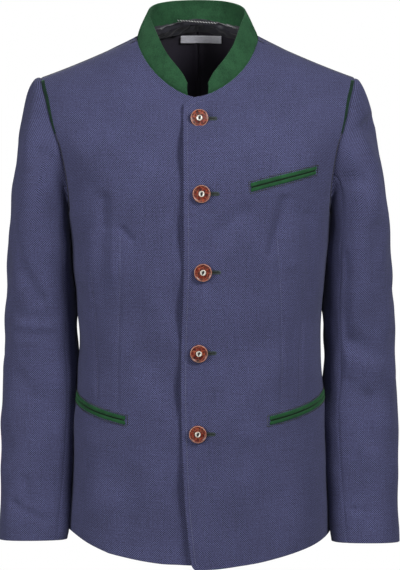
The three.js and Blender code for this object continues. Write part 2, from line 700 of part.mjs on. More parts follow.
// ---------------------------------------------------------------- inside the back
// Each half of the lining follows its back panel, row by row and column by column.
function lining(side) {
  const near = backNear(Math.PI / 2 - SEAM_GAP / 2 / 120);
  const far = sideSeam(BACK_ARM, HALF_GAP_TURN, backHem);
  const used = count(near.length - 1).filter((i) => near[i].level > LINING.hem);
  const grid = (depth) =>
    used.map((i) =>
      count(BACK_COLUMNS).map((j) => {
        return worn(side, lifted(between(near[i], far[i], j / BACK_COLUMNS), -depth));
      }),
    );
  const face = BODY_CLOTH + LINING.gap;
  return wall(grid(face), grid(face + LINING.thick));
}
add("back_lining_left", lining(1), BLACK);
add("back_lining_right", lining(-1), BLACK);

const ON_LINING = BODY_CLOTH + LINING.gap + LINING.thick + SEAM_GAP;
// The band runs from the wearer's right over centre back to the left.
function neckBand() {
  const grid = (depth) =>
    [0.12, 0.55, 1].map((share) =>
      count(2 * STATIONS + 1).map((j) => {
        const a = Math.abs(mix(BAND.end - Math.PI / 2, Math.PI / 2 - BAND.end, j / (2 * STATIONS)));
        const x = (NECK_HALF + BAND.wide * share) * Math.sin(a);
        const y = RIDGE_Y + (NECK_BACK_REACH + BAND.wide * share) * Math.cos(a);
        return worn(j < STATIONS ? -1 : 1, lifted(aboveAt(x, y), -depth));
      }),
    );
  return wall(grid(ON_LINING + BAND.clear), grid(ON_LINING + BAND.clear + BAND.thick));
}
add("neck_band", neckBand(), BLACK);

function label() {
  const grid = (depth) =>
    [LABEL.bottom, (LABEL.bottom + LABEL.top) / 2, LABEL.top].map((z) =>
      count(9).map((j) => {
        const x = mix(LABEL.left, LABEL.right, j / 8);
        return worn(x < 0 ? -1 : 1, lifted(seenAt(Math.abs(x), z, true), -depth));
      }),
    );
  return wall(grid(ON_LINING + LABEL.clear), grid(ON_LINING + LABEL.clear + LABEL.thick));
}
add("label", label(), GREY);

// The hanger loop is a cord along the inside of the neck seam.
function hangerLoop() {
  const steps = 12;
  const nape = lifted(BACK_NECK[STATIONS]).z;
  const middle = count(steps + 1).map((i) => {
    const x = mix(LOOP.left, LOOP.right, i / steps);
    const sag = LOOP.sag * Math.sin((i / steps) * Math.PI);
    const y = RIDGE_Y + NECK_BACK_REACH * Math.sqrt(1 - (x / NECK_HALF) ** 2) - LOOP.clear - sag;
    return vec(x, y, nape - 2.5 - 0.002 * x * x - sag);
  });
  const rings = middle.map((p, i) => {
    const along = middle[Math.min(i + 1, steps)].clone().sub(middle[Math.max(i - 1, 0)]).normalize();
    const up = vec(0, 0, 1);
    const side = along.clone().cross(up).normalize();
    return count(8).map((k) => {
      const a = (k / 8) * 2 * Math.PI;
      return moved(moved(p, up, LOOP.radius * Math.sin(a)), side, LOOP.radius * Math.cos(a));
    });
  });
  return bar(rings);
}
add("hanger_loop", hangerLoop(), SILVER);

export default blazer;
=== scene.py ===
import math
import bpy
import numpy as np
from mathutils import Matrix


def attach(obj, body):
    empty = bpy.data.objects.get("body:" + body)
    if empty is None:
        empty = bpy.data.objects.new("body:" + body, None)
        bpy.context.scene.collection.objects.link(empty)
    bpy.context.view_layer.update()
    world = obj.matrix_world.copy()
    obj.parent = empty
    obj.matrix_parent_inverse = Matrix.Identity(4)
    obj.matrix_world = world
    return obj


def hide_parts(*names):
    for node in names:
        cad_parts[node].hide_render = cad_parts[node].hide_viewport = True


# A folk blazer: slate blue birdseye wool, a green felt stand collar, five horn-look buttons, green welts and
# shoulder inlays, hollow as when it is worn. Sizes are in millimetres and become metres when a mesh is made.
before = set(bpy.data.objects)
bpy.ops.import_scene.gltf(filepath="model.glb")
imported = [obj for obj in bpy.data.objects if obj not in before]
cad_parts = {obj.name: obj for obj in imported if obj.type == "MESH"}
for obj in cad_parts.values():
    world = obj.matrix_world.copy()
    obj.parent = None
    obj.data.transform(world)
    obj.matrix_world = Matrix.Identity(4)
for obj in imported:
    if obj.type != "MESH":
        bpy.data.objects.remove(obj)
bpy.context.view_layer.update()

# ---------------------------------------------------------------- camera
# A long lens looks a little down on the jacket's front from chest height.
CAMERA_TARGET = (0.0034, 0, -0.34903)
CAMERA_DISTANCE = 2.64
CAMERA_ELEVATION = math.radians(8.5)
CAMERA_LENS = 117.42
camera = bpy.data.objects.new("camera", bpy.data.cameras.new("camera"))
camera.data.lens = CAMERA_LENS
camera.location = (
    CAMERA_TARGET[0],
    CAMERA_TARGET[1] - CAMERA_DISTANCE * math.cos(CAMERA_ELEVATION),
    CAMERA_TARGET[2] + CAMERA_DISTANCE * math.sin(CAMERA_ELEVATION),
)
camera.rotation_euler = (math.pi / 2 - CAMERA_ELEVATION, 0, 0)
bpy.context.collection.objects.link(camera)
bpy.context.scene.camera = camera

# ---------------------------------------------------------------- floor and light
# A plain white studio floor far below the jacket, white air all round, and soft boxes above and beside the
# camera: the stronger one stands on the wearer's left.
FLOOR_LEVEL = -1.45
FLOOR_HALF = 40


def add_node(tree, kind, inputs=(), **settings):
    """A shader node with its settings and inputs; an input is a value or the socket that feeds it."""
    made = tree.nodes.new("ShaderNode" + kind)
    for key, value in settings.items():
        setattr(made, key, value)
    for key, value in dict(inputs).items():
        if isinstance(value, bpy.types.NodeSocket):
            tree.links.new(value, made.inputs[key])
        else:
            made.inputs[key].default_value = value
    return made


def new_material(name):
    """An empty material: its node tree and its surface shader."""
    material = bpy.data.materials.new(name)
    material.use_nodes = True
    return material, material.node_tree, material.node_tree.nodes["Principled BSDF"]


def noise(tree, place, scale, detail, roughness=0.5):
    """A noise texture read at place."""
    values = {"Vector": place, "Scale": scale, "Detail": detail, "Roughness": roughness}
    return add_node(tree, "TexNoise", values)


def reckon(tree, operation, *values, clamp=False):
    """The result of a math node on one to three values or sockets."""
    made = add_node(tree, "Math", dict(enumerate(values)), operation=operation, use_clamp=clamp)
    return made.outputs[0]


def blend(tree, share, low, high):
    """The colour between low and high at share; each of the two is a colour or a socket."""
    ends = [end if isinstance(end, bpy.types.NodeSocket) else (*end, 1) for end in (low, high)]
    return add_node(tree, "Mix", {0: share, 6: ends[0], 7: ends[1]}, data_type="RGBA").outputs[2]


def dress(tree, shader, color, relief, **finish):
    """Gives a surface its colour, its relief (height, strength, distance) and its plain values, such as
    Sheen_Weight."""
    tree.links.new(color, shader.inputs["Base Color"])
    if relief is not None:
        bump = add_node(tree, "Bump", dict(zip(("Height", "Strength", "Distance"), relief)))
        tree.links.new(bump.outputs[0], shader.inputs["Normal"])
    for name, value in finish.items():
        shader.inputs[name.replace("_", " ")].default_value = value


def white_to_camera(tree, surface, output):
    """What the camera sees is plain white; all other rays meet the surface."""
    kind = "Emission" if output == "Material Output" else "Background"
    glow = add_node(tree, kind, {"Color": (1, 1, 1, 1), "Strength": 1.0})
    camera_ray = add_node(tree, "LightPath").outputs["Is Camera Ray"]
    seen = add_node(tree, "MixShader", {0: camera_ray, 1: surface, 2: glow.outputs[0]})
    tree.links.new(seen.outputs[0], tree.nodes[output].inputs["Surface"])


floor_paint, floor_tree, floor_shader = new_material("floor_paint")
floor_shader.inputs["Base Color"].default_value = (0.25, 0.25, 0.25, 1)
floor_shader.inputs["Roughness"].default_value = 0.9
white_to_camera(floor_tree, floor_shader.outputs[0], "Material Output")
floor_mesh = bpy.data.meshes.new("floor")
floor_mesh.from_pydata(
    [(x * FLOOR_HALF, y * FLOOR_HALF, FLOOR_LEVEL) for x, y in ((-1, -1), (1, -1), (1, 1), (-1, 1))],
    [],
    [(0, 1, 2, 3)],
)
floor_mesh.materials.append(floor_paint)
floor = bpy.data.objects.new("floor", floor_mesh)
bpy.context.collection.objects.link(floor)

world = bpy.data.worlds.new("studio")
world.use_nodes = True
air = world.node_tree.nodes["Background"]
air.inputs["Color"].default_value = (1, 1, 1, 1)
air.inputs["Strength"].default_value = 0.075
white_to_camera(world.node_tree, air.outputs[0], "World Output")
bpy.context.scene.world = world
bpy.context.scene.view_settings.view_transform = "Standard"

# Each soft box: where it stands, how wide it is, its power in watts; all look at the jacket's chest.
SOFT_BOXES = [
    {"name": "soft_box_left", "at": (1.75, -2.0, 1.35), "size": 1.0, "power": 100},
    {"name": "soft_box_right", "at": (-1.9, -2.0, 0.3), "size": 1.3, "power": 61},
    {"name": "soft_box_front", "at": (0.1, -3.1, 1.1), "size": 0.8, "power": 8},
    {"name": "soft_box_back", "at": (0.3, 2.6, 1.8), "size": 1.6, "power": 14},
]
CHEST = np.array([0, 0, -0.3])
for box in SOFT_BOXES:
    lamp = bpy.data.lights.new(box["name"], "AREA")
    lamp.size = box["size"]
    lamp.energy = box["power"]
    stand = bpy.data.objects.new(box["name"], lamp)
    stand.location = box["at"]
    away = np.array(box["at"]) - CHEST
    stand.rotation_euler = (
        math.acos(away[2] / np.linalg.norm(away)),
        0,
        math.atan2(away[1], away[0]) + math.pi / 2,
    )
    bpy.context.collection.objects.link(stand)

# ---------------------------------------------------------------- the two fronts
# Each front is one panel of birdseye wool with two darts, faced with the same cloth along its edge and lined
# with black satin. The left front laps over the right one, and its edge is topstitched.
CLOTH = 2.0  # the panel's wall: cloth, interlining and lining pressed together
NECK_HALF = 84.4
NECK_FRONT_DROP = 80.5
NECK_BACK_REACH = 61
NECK_POWER = 1.56
LAP_NECK_FALL = 0.42
SHOULDER_HALF = 219.3
SHOULDER_DROP = 56
RIDGE_Y = 4
SLOPE_REACH = 200
NAPE_TILT = 0.62
NAPE_WIDTH = 100
NAPE_REACH = 165
FRONT_FULLNESS = (190, 1.75)
BACK_FULLNESS = (150, 1.9)
NAPE_POWER = 1.6
HEM_SIDE = -699
HEM_FRONT_DIP = 19.5
LEFT_HEM_EXTRA = 4.5
SIDE_SEAM_TURN = math.radians(8)
ARMPIT_LEVEL = -248
CHEST_LINE = -262
LAP_FULL = 24
LAP_NONE = 60
LAP_LIFT = CLOTH + 1.1
UNDERLAP = 22
COLLAR_END = 14.6
# level, half the width, depth in front, depth behind, squareness
BODY = [
    (-745, 197, 147, 139, 2.2),
    (-705, 193, 145, 137, 2.2),
    (-662, 188, 143, 134, 2.25),
    (-590, 183, 141, 129, 2.3),
    (-515, 178.7, 139, 123, 2.35),
    (-435, 171.2, 136, 116, 2.4),
    (-370, 174.5, 138, 118, 2.45),
    (-298, 181, 141, 124, 2.5),
    (-250, 184, 140, 128, 2.5),
    (-200, 194, 136, 129, 2.5),
    (-150, 209, 131, 127, 2.5),
    (-100, 225, 126, 123, 2.5),
    (-50, 240, 122, 117, 2.5),
    (0, 250, 118, 112, 2.5),
]
# height, how far the centre line leans to the wearer's left
LEAN = [(-745, 2), (-600, 2.8), (-230, 2.8), (-160, 2), (-80, 0.4), (60, 0)]
# height, sideways place of the lapping edge
FRONT_EDGE = [
    (-730, -8),
    (-700, -12),
    (-640, -18.5),
    (-560, -22.5),
    (-480, -24.5),
    (-400, -23.5),
    (-320, -20.5),
    (-200, -20.5),
    (-80, -19.2),
]
# the armhole seam from the armpit to the shoulder, seen from the front and from behind
ARMHOLE_FRONT = [
    (181.8, -238),
    (182, -222),
    (183.6, -195),
    (190, -153),
    (197.5, -130),
    (209.5, -88),
    (216, -68),
]
ARMHOLE_BACK = [(182, -232), (187, -205), (195, -160), (202.5, -125), (211.5, -88), (216.5, -68)]
LOWER, FRONT_CHEST, BACK_CHEST = 10, 8, 6  # rows of spots below the armpit, and above it in each panel
STATIONS = 8  # of the neckline, from the collar's end to the shoulder seam
TOPSTITCH = 5.4  # from the edge
# Folds and hollows seen from the front: a line from x, z to x, z, its half width, and its height.
FOLDS_LEFT = [
    (117, -216, 101, -286, 5, -1.9),
    (102, -262, 102, -276, 4, -0.7),
    (134, -250, 131, -305, 7, 1.0),
    (64, -230, 12, -280, 9, -1.8),
    (52, -246, 20, -272, 7, 0.7),
    (153, -239, 156, -344, 6, -1.2),
    (106, -450, 24, -528, 14, 1.2),
    (84, -400, 20, -455, 16, -0.7),
    (66, -555, 66, -590, 7, -1.0),
    (116, -345, 116, -470, 8, 0.7),
    (150, -400, 146, -480, 9, 0.8),
    (40, -330, 70, -395, 14, 0.7),
    (150, -560, 158, -680, 16, 1.4),
    (96, -560, 104, -690, 14, -1.2),
    (160, -150, 120, -205, 14, 0.9),
]
FOLDS_RIGHT = [
    (-126, -214, -127, -251, 5, -1.9),
    (-64, -225, -62, -240, 10, -1.0),
    (-102, -256, -91, -269, 4, -1.5),
    (-144, -273, -146, -357, 7, 1.0),
    (-113, -262, -113, -316, 6, 0.9),
    (-129, -262, -131, -350, 6, -0.7),
    (-60, -300, -44, -400, 14, 0.8),
    (-86, -330, -78, -430, 12, -0.6),
    (-150, -390, -146, -485, 9, 0.9),
    (-90, -560, -98, -690, 14, -1.2),
    (-140, -560, -150, -690, 15, 1.3),
    (-70, -470, -40, -540, 14, 0.8),
    (-160, -150, -120, -205, 14, 0.9),
]
# Each dart: its line by height and sideways place, from its tip down to the pocket.
DARTS_LEFT = [
    [(-505, 115), (-423, 116), (-353, 114), (-283, 109), (-240, 106)],
    [(-500, 141.5), (-426, 141), (-385, 145), (-325, 146.5)],
]
DARTS_RIGHT = [
    [(-505, -110.5), (-423, -109), (-325, -105), (-262, -104.5)],
    [(-497, -138), (-420, -139), (-364, -141), (-312, -147)],
]
FOLD_SHARE = 2.6
FOLD_WIDTH = 1.35  # against the widths in the tables
RIPPLE = 1.05
BACK_RIPPLE = 0.55 * RIPPLE
DART_DEPTH = 1.5
DART_WIDE = 1.1
BUTTON_LEVELS = np.array([-102.6, -203, -309.5, -421.4, -532.3])  # where the lap is held down


def ramp(low, high, x):
    """0 below low, 1 above high, and an S between."""
    t = np.clip((np.asarray(x, float) - low) / (high - low), 0, 1)
    return t * t * (3 - 2 * t)


def mix(a, b, t):
    """a at t = 0 and b at t = 1, straight between."""
    return a + (b - a) * t


def bell(x, wide):
    """1 at x = 0, falling off on both sides as a bell curve of the given width."""
    return np.exp(-((x / wide) ** 2))


def quarter(x, power):
    """The quarter of a superellipse that falls from 1 at x = 0 to 0 at x = 1."""
    return np.maximum(0, 1 - np.abs(x) ** power) ** (1 / power)


def centres(a):
    """A grid's values at the middle of its faces."""
    return (a[1:, 1:] + a[:-1, :-1]) / 2


def unit(v):
    """v scaled to length 1."""
    return v / np.maximum(np.linalg.norm(v, axis=-1, keepdims=True), 1e-9)


def smooth_curve(rows, column, at):
    """The table's column as a smooth function of its first one: cubic pieces through the rows, whose slopes
    are those of the line from the row before to the row after."""
    table = np.array(rows, float)
    xs, ys = table[:, 0], table[:, column]
    index = np.arange(len(xs))
    low, high = np.maximum(index - 1, 0), np.minimum(index + 1, len(xs) - 1)
    slopes = (ys[high] - ys[low]) / (xs[high] - xs[low])
    x = np.clip(at, xs[0], xs[-1])
    i = np.clip(np.searchsorted(xs, x, side="right") - 1, 0, len(xs) - 2)
    h = xs[i + 1] - xs[i]
    t = (x - xs[i]) / h
    rise = t * t * (3 - 2 * t)
    bend = slopes[i] * t * (1 - t) ** 2 - slopes[i + 1] * t * t * (1 - t)
    return ys[i] * (1 - rise) + ys[i + 1] * rise + h * bend


def worn(side, p):
    """From the frame that is the same on both sides to the garment's own: mirrored for the wearer's right,
    and moved sideways by the lean of the centre line."""
    out = np.array(p, float)
    out[..., 0] = side * out[..., 0] + smooth_curve(LEAN, 1, out[..., 2])
    return out


SHOULDER_HOLLOW = 2.6
HEM_CURL = 6.5
CURL_END = 0.68  # share of the way forward


def shoulder_drop(x):
    """How far the shoulder seam has dropped at x: a straight slope, rounded across the neck and a little
    hollow between neck and armhole, as a power of half a sine."""
    soft = 35
    start = math.hypot(NECK_HALF, soft)
    along = (np.abs(x) - NECK_HALF) / (SHOULDER_HALF - NECK_HALF)
    hollow = SHOULDER_HOLLOW * np.sin(math.pi * np.clip(along, 0, 1)) ** 0.7
    return SHOULDER_DROP * (np.hypot(x, soft) - start) / (math.hypot(SHOULDER_HALF, soft) - start) + hollow


def body_point(turn, level):
    """The body's outer face. Round it runs a superellipse of the level's width and depth, whose depth
    shrinks to nothing at the shoulder seam (level 0) as a quarter superellipse; the shoulders then slope
    down with distance from the centre, and the neck's levels tilt forward. turn is 0 at the side, -90
    degrees at centre front and 90 at centre back."""
    half, front, back, square = (smooth_curve(BODY, k, level) for k in (1, 2, 3, 4))
    behind = np.sin(turn) > 0
    deep = np.where(behind, back, front)
    r = (np.abs(np.cos(turn) / half) ** square + np.abs(np.sin(turn) / deep) ** square) ** (-1 / square)
    x = r * np.cos(turn)
    nape = ramp(150, 30, np.abs(x))
    power = np.where(behind, mix(BACK_FULLNESS[1], NAPE_POWER, nape), FRONT_FULLNESS[1])
    reach = np.where(behind, BACK_FULLNESS[0], FRONT_FULLNESS[0])
    y = r * np.sin(turn) * quarter(1 - np.clip(-level / reach, 0, 1), power)
    slope = shoulder_drop(x) * ramp(-SLOPE_REACH, 0, level)
    tilt = NAPE_TILT * bell(x, NAPE_WIDTH) * ramp(-NAPE_REACH, -25, level)
    return np.stack([x, y + RIDGE_Y, level - slope + tilt * y], -1)


def outward(spots):
    """The direction out of the body at each spot (turn, level): across both of its own directions."""
    turn, level = spots[..., 0], spots[..., 1]
    low = np.minimum(level, -0.8)
    around = body_point(turn + 0.004, low) - body_point(turn - 0.004, low)
    up = body_point(turn, low + 0.4) - body_point(turn, low - 0.4)
    n = np.cross(around, up)
    n[..., 1] = np.where(level > -0.5, 0, n[..., 1])
    return unit(n)


def lifted(spots, lift=0.0):
    """The spots moved out from the body by lift; on the shoulder seam they keep to its line."""
    turn, level = spots[..., 0], spots[..., 1]
    p = body_point(turn, level) + outward(spots) * np.asarray(lift)[..., None]
    p[..., 1] = np.where(level > -0.5, RIDGE_Y + np.sign(turn) * 0.05, p[..., 1])
    return p


def turn_at(x, level, behind=False):
    """The angle round the body at which it is x wide: the superellipse solved for its depth."""
    half, front, back, square = (smooth_curve(BODY, k, level) for k in (1, 2, 3, 4))
    return np.arctan2((back if behind else -front) * quarter(x / half, square), x)


def seen_at(x, z, behind=False):
    """The spots that are seen at x and z from the front or from behind: the level is corrected by seven
    tenths of the miss in height, sixty times."""
    x, z = np.broadcast_arrays(np.asarray(x, float), np.asarray(z, float))
    level = np.minimum(z, -0.005)
    for _ in range(60):
        miss = z - body_point(turn_at(x, level, behind), level)[..., 2]
        level = np.minimum(level + 0.7 * miss, -0.005)
    return np.stack([turn_at(x, level, behind), level], -1)


def above_at(x, y):
    """The spots behind the shoulder seam that are seen at x and y from above, by halving the range."""
    low, high = np.full(np.shape(x), -200.0), np.full(np.shape(x), -0.005)
    for _ in range(50):
        level = (low + high) / 2
        beyond = body_point(turn_at(x, level, True), level)[..., 1] > y
        low, high = np.where(beyond, level, low), np.where(beyond, high, level)
    return np.stack([turn_at(x, high, True), high], -1)


def ridge_at(x, behind):
    """The spot on the shoulder seam at x."""
    return np.array([float(turn_at(x, -0.005, behind)), -0.005])


def hem_level(turn, side):
    """The hem dips towards centre front with the square of the turn, a little more on the left; on the
    right it curls up beside the seam, as half a sine."""
    forward = np.maximum(0, -np.sin(turn))
    extra = LEFT_HEM_EXTRA * forward**1.5 if side > 0 else 0
    curl = HEM_CURL * np.sin(np.pi * np.minimum(forward / CURL_END, 1)) if side < 0 else 0
    return HEM_SIDE - HEM_FRONT_DIP * forward**2 - extra + curl


def neck_z(x):
    """The height of the front neckline: a quarter superellipse, and a slight fall past the centre."""
    rounded = -NECK_FRONT_DROP * quarter(np.maximum(x, 0) / NECK_HALF, NECK_POWER)
    return np.where(x < 0, -NECK_FRONT_DROP + LAP_NECK_FALL * x, rounded)


def spread(points, shares):
    """The points at the given shares of the length of a smooth line through points: a centripetal
    Catmull-Rom spline, whose knots lie apart by the square root of the points' distances."""
    p = np.vstack([2 * points[0] - points[1], points, 2 * points[-1] - points[-2]])
    gap = np.sqrt(np.linalg.norm(np.diff(p, axis=0), axis=1))[:, None]
    before, along, after = gap[:-2], gap[1:-1], gap[2:]
    a, b, c, d = p[:-3], p[1:-2], p[2:-1], p[3:]
    leave = ((b - a) / before - (c - a) / (before + along) + (c - b) / along) * along
    enter = ((c - b) / along - (d - b) / (along + after) + (d - c) / after) * along
    t = np.linspace(0, 1, 40, endpoint=False)[:, None, None]
    rise = t * t * (3 - 2 * t)
    line = b * (1 - rise) + c * rise + leave * t * (1 - t) ** 2 - enter * t * t * (1 - t)
    line = np.vstack([line.transpose(1, 0, 2).reshape(-1, 2), points[-1]])
    length = np.append(0, np.cumsum(np.linalg.norm(np.diff(line, axis=0), axis=1)))
    return np.stack([np.interp(shares, length / length[-1], line[:, k]) for k in (0, 1)], -1)


def armhole(rows, behind, shares):
    """The spots at the given shares of the armhole seam, from the armpit to the shoulder."""
    x, z = np.array(rows, float).T
    spots = np.vstack(
        [[SIDE_SEAM_TURN, ARMPIT_LEVEL], seen_at(x, z, behind), ridge_at(SHOULDER_HALF, behind)]
    )
    girth = np.array([150.0, 1.0])  # turns a change of angle into a length
    return spread(spots * girth, np.asarray(shares, float)) / girth


def front_neck(station):
    """The spots of the front neckline: its stations lie closer where it turns up to the shoulder."""
    x = mix(COLLAR_END, NECK_HALF, np.sin(np.asarray(station, float) / STATIONS * math.pi / 2))
    spots = seen_at(x, neck_z(x))
    spots[np.asarray(station) >= STATIONS] = ridge_at(NECK_HALF, False)
    return spots


def lap_lift(side, x):
    """The lapping left front stands off the other near the centre, and is level with it further out."""
    return LAP_LIFT * ramp(LAP_NONE, LAP_FULL, x) if side > 0 else 0 * x


def climb(row):
    """Rows between hem and chest line sit a little closer together at the hem."""
    t = row / LOWER
    return t * (0.8 + 0.2 * t)


def side_seam(rows, hem, arm):
    """The far ends of a panel's rows: up the side seam by the climb, then along the armhole."""
    level = mix(hem(SIDE_SEAM_TURN), ARMPIT_LEVEL, climb(np.minimum(rows, LOWER)))
    low = np.stack([np.full(len(rows), SIDE_SEAM_TURN), level], -1)
    share = np.clip((rows - LOWER) / (rows[-1] - LOWER), 0, 1)
    return np.where((rows < LOWER)[:, None], low, arm(share))


def ruled(near, far, rows, shares, hem):
    """Straight rows of spots from near to far, at shares (rows by columns) of the way; the lowest rows
    bend down to the hem's curve."""
    spots = mix(near[:, None, :], far[:, None, :], shares[..., None])
    straight = mix(hem(near[0, 0]), hem(far[0, 0]), shares)
    low = np.clip(1 - rows / LOWER, 0, 1)[:, None]
    spots[..., 1] += low * (hem(spots[..., 0]) - straight)
    return spots


def graded(count, near_edge, far_edge, width):
    """Shares of each row's width: fixed offsets in millimetres at both edges, equal steps between."""
    near, far = np.array(near_edge, float), np.array(far_edge, float)[::-1]
    low, high = near[-1] / width, 1 - far[0] / width
    middle = mix(low[:, None], high[:, None], np.linspace(0, 1, count + 2)[1:-1])
    return np.hstack([near / width[:, None], middle, 1 - far / width[:, None]])


def row_lengths(near, far):
    """The length of each row over the body, measured in thirty steps."""
    t = np.linspace(0, 1, 31)
    p = body_point(*np.moveaxis(mix(near[:, None, :], far[:, None, :], t[:, None]), -1, 0))
    return np.linalg.norm(np.diff(p, axis=1), axis=-1).sum(1)


def fold_lift(rows, x, z):
    """The height of all the folds at x and z: each falls off from its line as a bell curve."""
    total = np.zeros(np.shape(x))
    for x0, z0, x1, z1, wide, height in rows:
        wide, height = FOLD_WIDTH * wide, FOLD_SHARE * height
        along, up = x1 - x0, z1 - z0
        t = np.clip(((x - x0) * along + (z - z0) * up) / (along**2 + up**2), 0, 1)
        far = (x - x0 - t * along) ** 2 + (z - z0 - t * up) ** 2
        total += height * np.exp(-far / wide**2)
    return total


def ripple(x, z, size, height, seed):
    """A soft unevenness: the sum of six waves of about the given size, each in a direction of its own."""
    draw = np.random.default_rng(seed)
    total = np.zeros(np.shape(x))
    for _ in range(6):
        a, phase, scale = draw.uniform(0, math.pi), draw.uniform(0, 2 * math.pi), draw.uniform(0.7, 1.5)
        total += np.sin((x * math.cos(a) + z * math.sin(a)) * 2 * math.pi / (size * scale) + phase)
    return height * total / 2.5


def grain(spots):
    """How far each spot lies from centre front round the body and up from below the hem, along the body's
    face, in metres: lengths summed over a table of turns and levels, and read between its rows."""
    turns = np.linspace(-math.pi / 2 - 0.25, math.pi / 2 + 0.05, 141)
    levels = np.linspace(-750, -0.3, 121)
    table = body_point(*np.meshgrid(turns, levels, indexing="ij"))
    round_ = np.zeros(table.shape[:2])
    round_[1:] = np.cumsum(np.linalg.norm(np.diff(table, axis=0), axis=-1), axis=0)
    rise = np.zeros(table.shape[:2])
    rise[:, 1:] = np.cumsum(np.linalg.norm(np.diff(table, axis=1), axis=-1), axis=1)
    i = np.clip((spots[..., 0] - turns[0]) / (turns[1] - turns[0]), 0, len(turns) - 1.001)
    j = np.clip((spots[..., 1] - levels[0]) / (levels[1] - levels[0]), 0, len(levels) - 1.001)
    i0, j0 = i.astype(int), j.astype(int)
    s, t = i - i0, j - j0
    read = [
        mix(mix(a[i0, j0], a[i0 + 1, j0], s), mix(a[i0, j0 + 1], a[i0 + 1, j0 + 1], s), t)
        for a in (round_, rise)
    ]
    return np.stack(read, -1) / 1000


def make_object(name, points, quads, materials, uv=None, picks=None):
    """A smooth mesh of the points (millimetres) and faces, turned outwards if it encloses less than
    nothing, with a UV for each point and a material number for each face."""
    points = np.asarray(points, float) / 1000
    quads = np.asarray(quads)
    a, b, c, d = (points[quads[:, k]] for k in range(4))
    middle = points.mean(0)
    spans = np.cross(b - middle, c - middle) + np.cross(c - middle, d - middle)
    if np.einsum("ij,ij->", a - middle, spans) < 0:
        quads = quads[:, ::-1]
    mesh = bpy.data.meshes.new(name)
    mesh.from_pydata(points.tolist(), [], quads.tolist())
    mesh.polygons.foreach_set("use_smooth", np.ones(len(quads), bool))
    if uv is not None:
        mesh.uv_layers.new(name="grain")
        mesh.uv_layers[0].data.foreach_set("uv", np.asarray(uv, float)[quads.ravel()].ravel())
    for material in materials:
        mesh.materials.append(material)
    if picks is not None:
        mesh.polygons.foreach_set("material_index", np.asarray(picks, np.int32))
    mesh.update()
    made = bpy.data.objects.new(name, mesh)
    bpy.context.collection.objects.link(made)
    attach(made, "root")
    return made


def grid_quads(rows, columns, first=0):
    """The faces of a grid of points, row by row."""
    i, j = np.meshgrid(np.arange(rows - 1), np.arange(columns - 1), indexing="ij")
    a = first + (i * columns + j).ravel()
    return np.stack([a, a + 1, a + columns + 1, a + columns], -1)


def wall(name, outer, inner, uv, materials, bulge=0.5, lined=None, flush=False):
    """A closed wall of cloth: an outer and an inner grid, joined all round by a rim of three rings that
    swells by bulge, as half a sine. lined marks the inner faces that show the second material, and a flush
    wall's last row doesn't swell, because another piece is sewn on there."""
    rows, columns = outer.shape[:2]
    i = np.concatenate(
        [
            np.zeros(columns - 1, int),
            np.arange(rows - 1),
            np.full(columns - 1, rows - 1),
            np.arange(rows - 1, 0, -1),
        ]
    )
    j = np.concatenate(
        [
            np.arange(columns - 1),
            np.full(rows - 1, columns - 1),
            np.arange(columns - 1, 0, -1),
            np.zeros(rows - 1, int),
        ]
    )
    edge_out, edge_in = outer[i, j], inner[i, j]
    through = unit(edge_in - edge_out)
    away = edge_out - outer[np.clip(i, 1, rows - 2), np.clip(j, 1, columns - 2)]
    away = unit(away - through * np.sum(away * through, -1, keepdims=True))
    if flush:
        away[i == rows - 1] = 0
    shares = np.array([0.2, 0.5, 0.8])
    rings = [mix(edge_out, edge_in, s) + away * bulge * math.sin(math.pi * s) for s in shares]
    points = np.concatenate([outer.reshape(-1, 3), inner.reshape(-1, 3), *rings])
    size, loop = rows * columns, len(i)
    lines = [i * columns + j]
    lines += [2 * size + k * loop + np.arange(loop) for k in range(3)]
    lines += [size + i * columns + j]
    rim = [
        np.stack([a, b, np.roll(b, -1), np.roll(a, -1)], -1) for a, b in zip(lines[:-1], lines[1:])
    ]
    faces_out = grid_quads(rows, columns)
    faces_in = grid_quads(rows, columns, size)[:, ::-1]
    quads = np.concatenate([faces_out, faces_in, *rim])
    flat = uv.reshape(-1, 2)
    uvs = np.concatenate([flat, flat, *[uv[i, j]] * 3])
    picks = np.zeros(len(quads), int)
    if lined is not None:
        picks[len(faces_out) : len(faces_out) + len(faces_in)] = lined.ravel()
    return make_object(name, points, quads, materials, uvs, picks)


WEAVE = 0.00302  # the birdseye repeats after this many metres, both ways


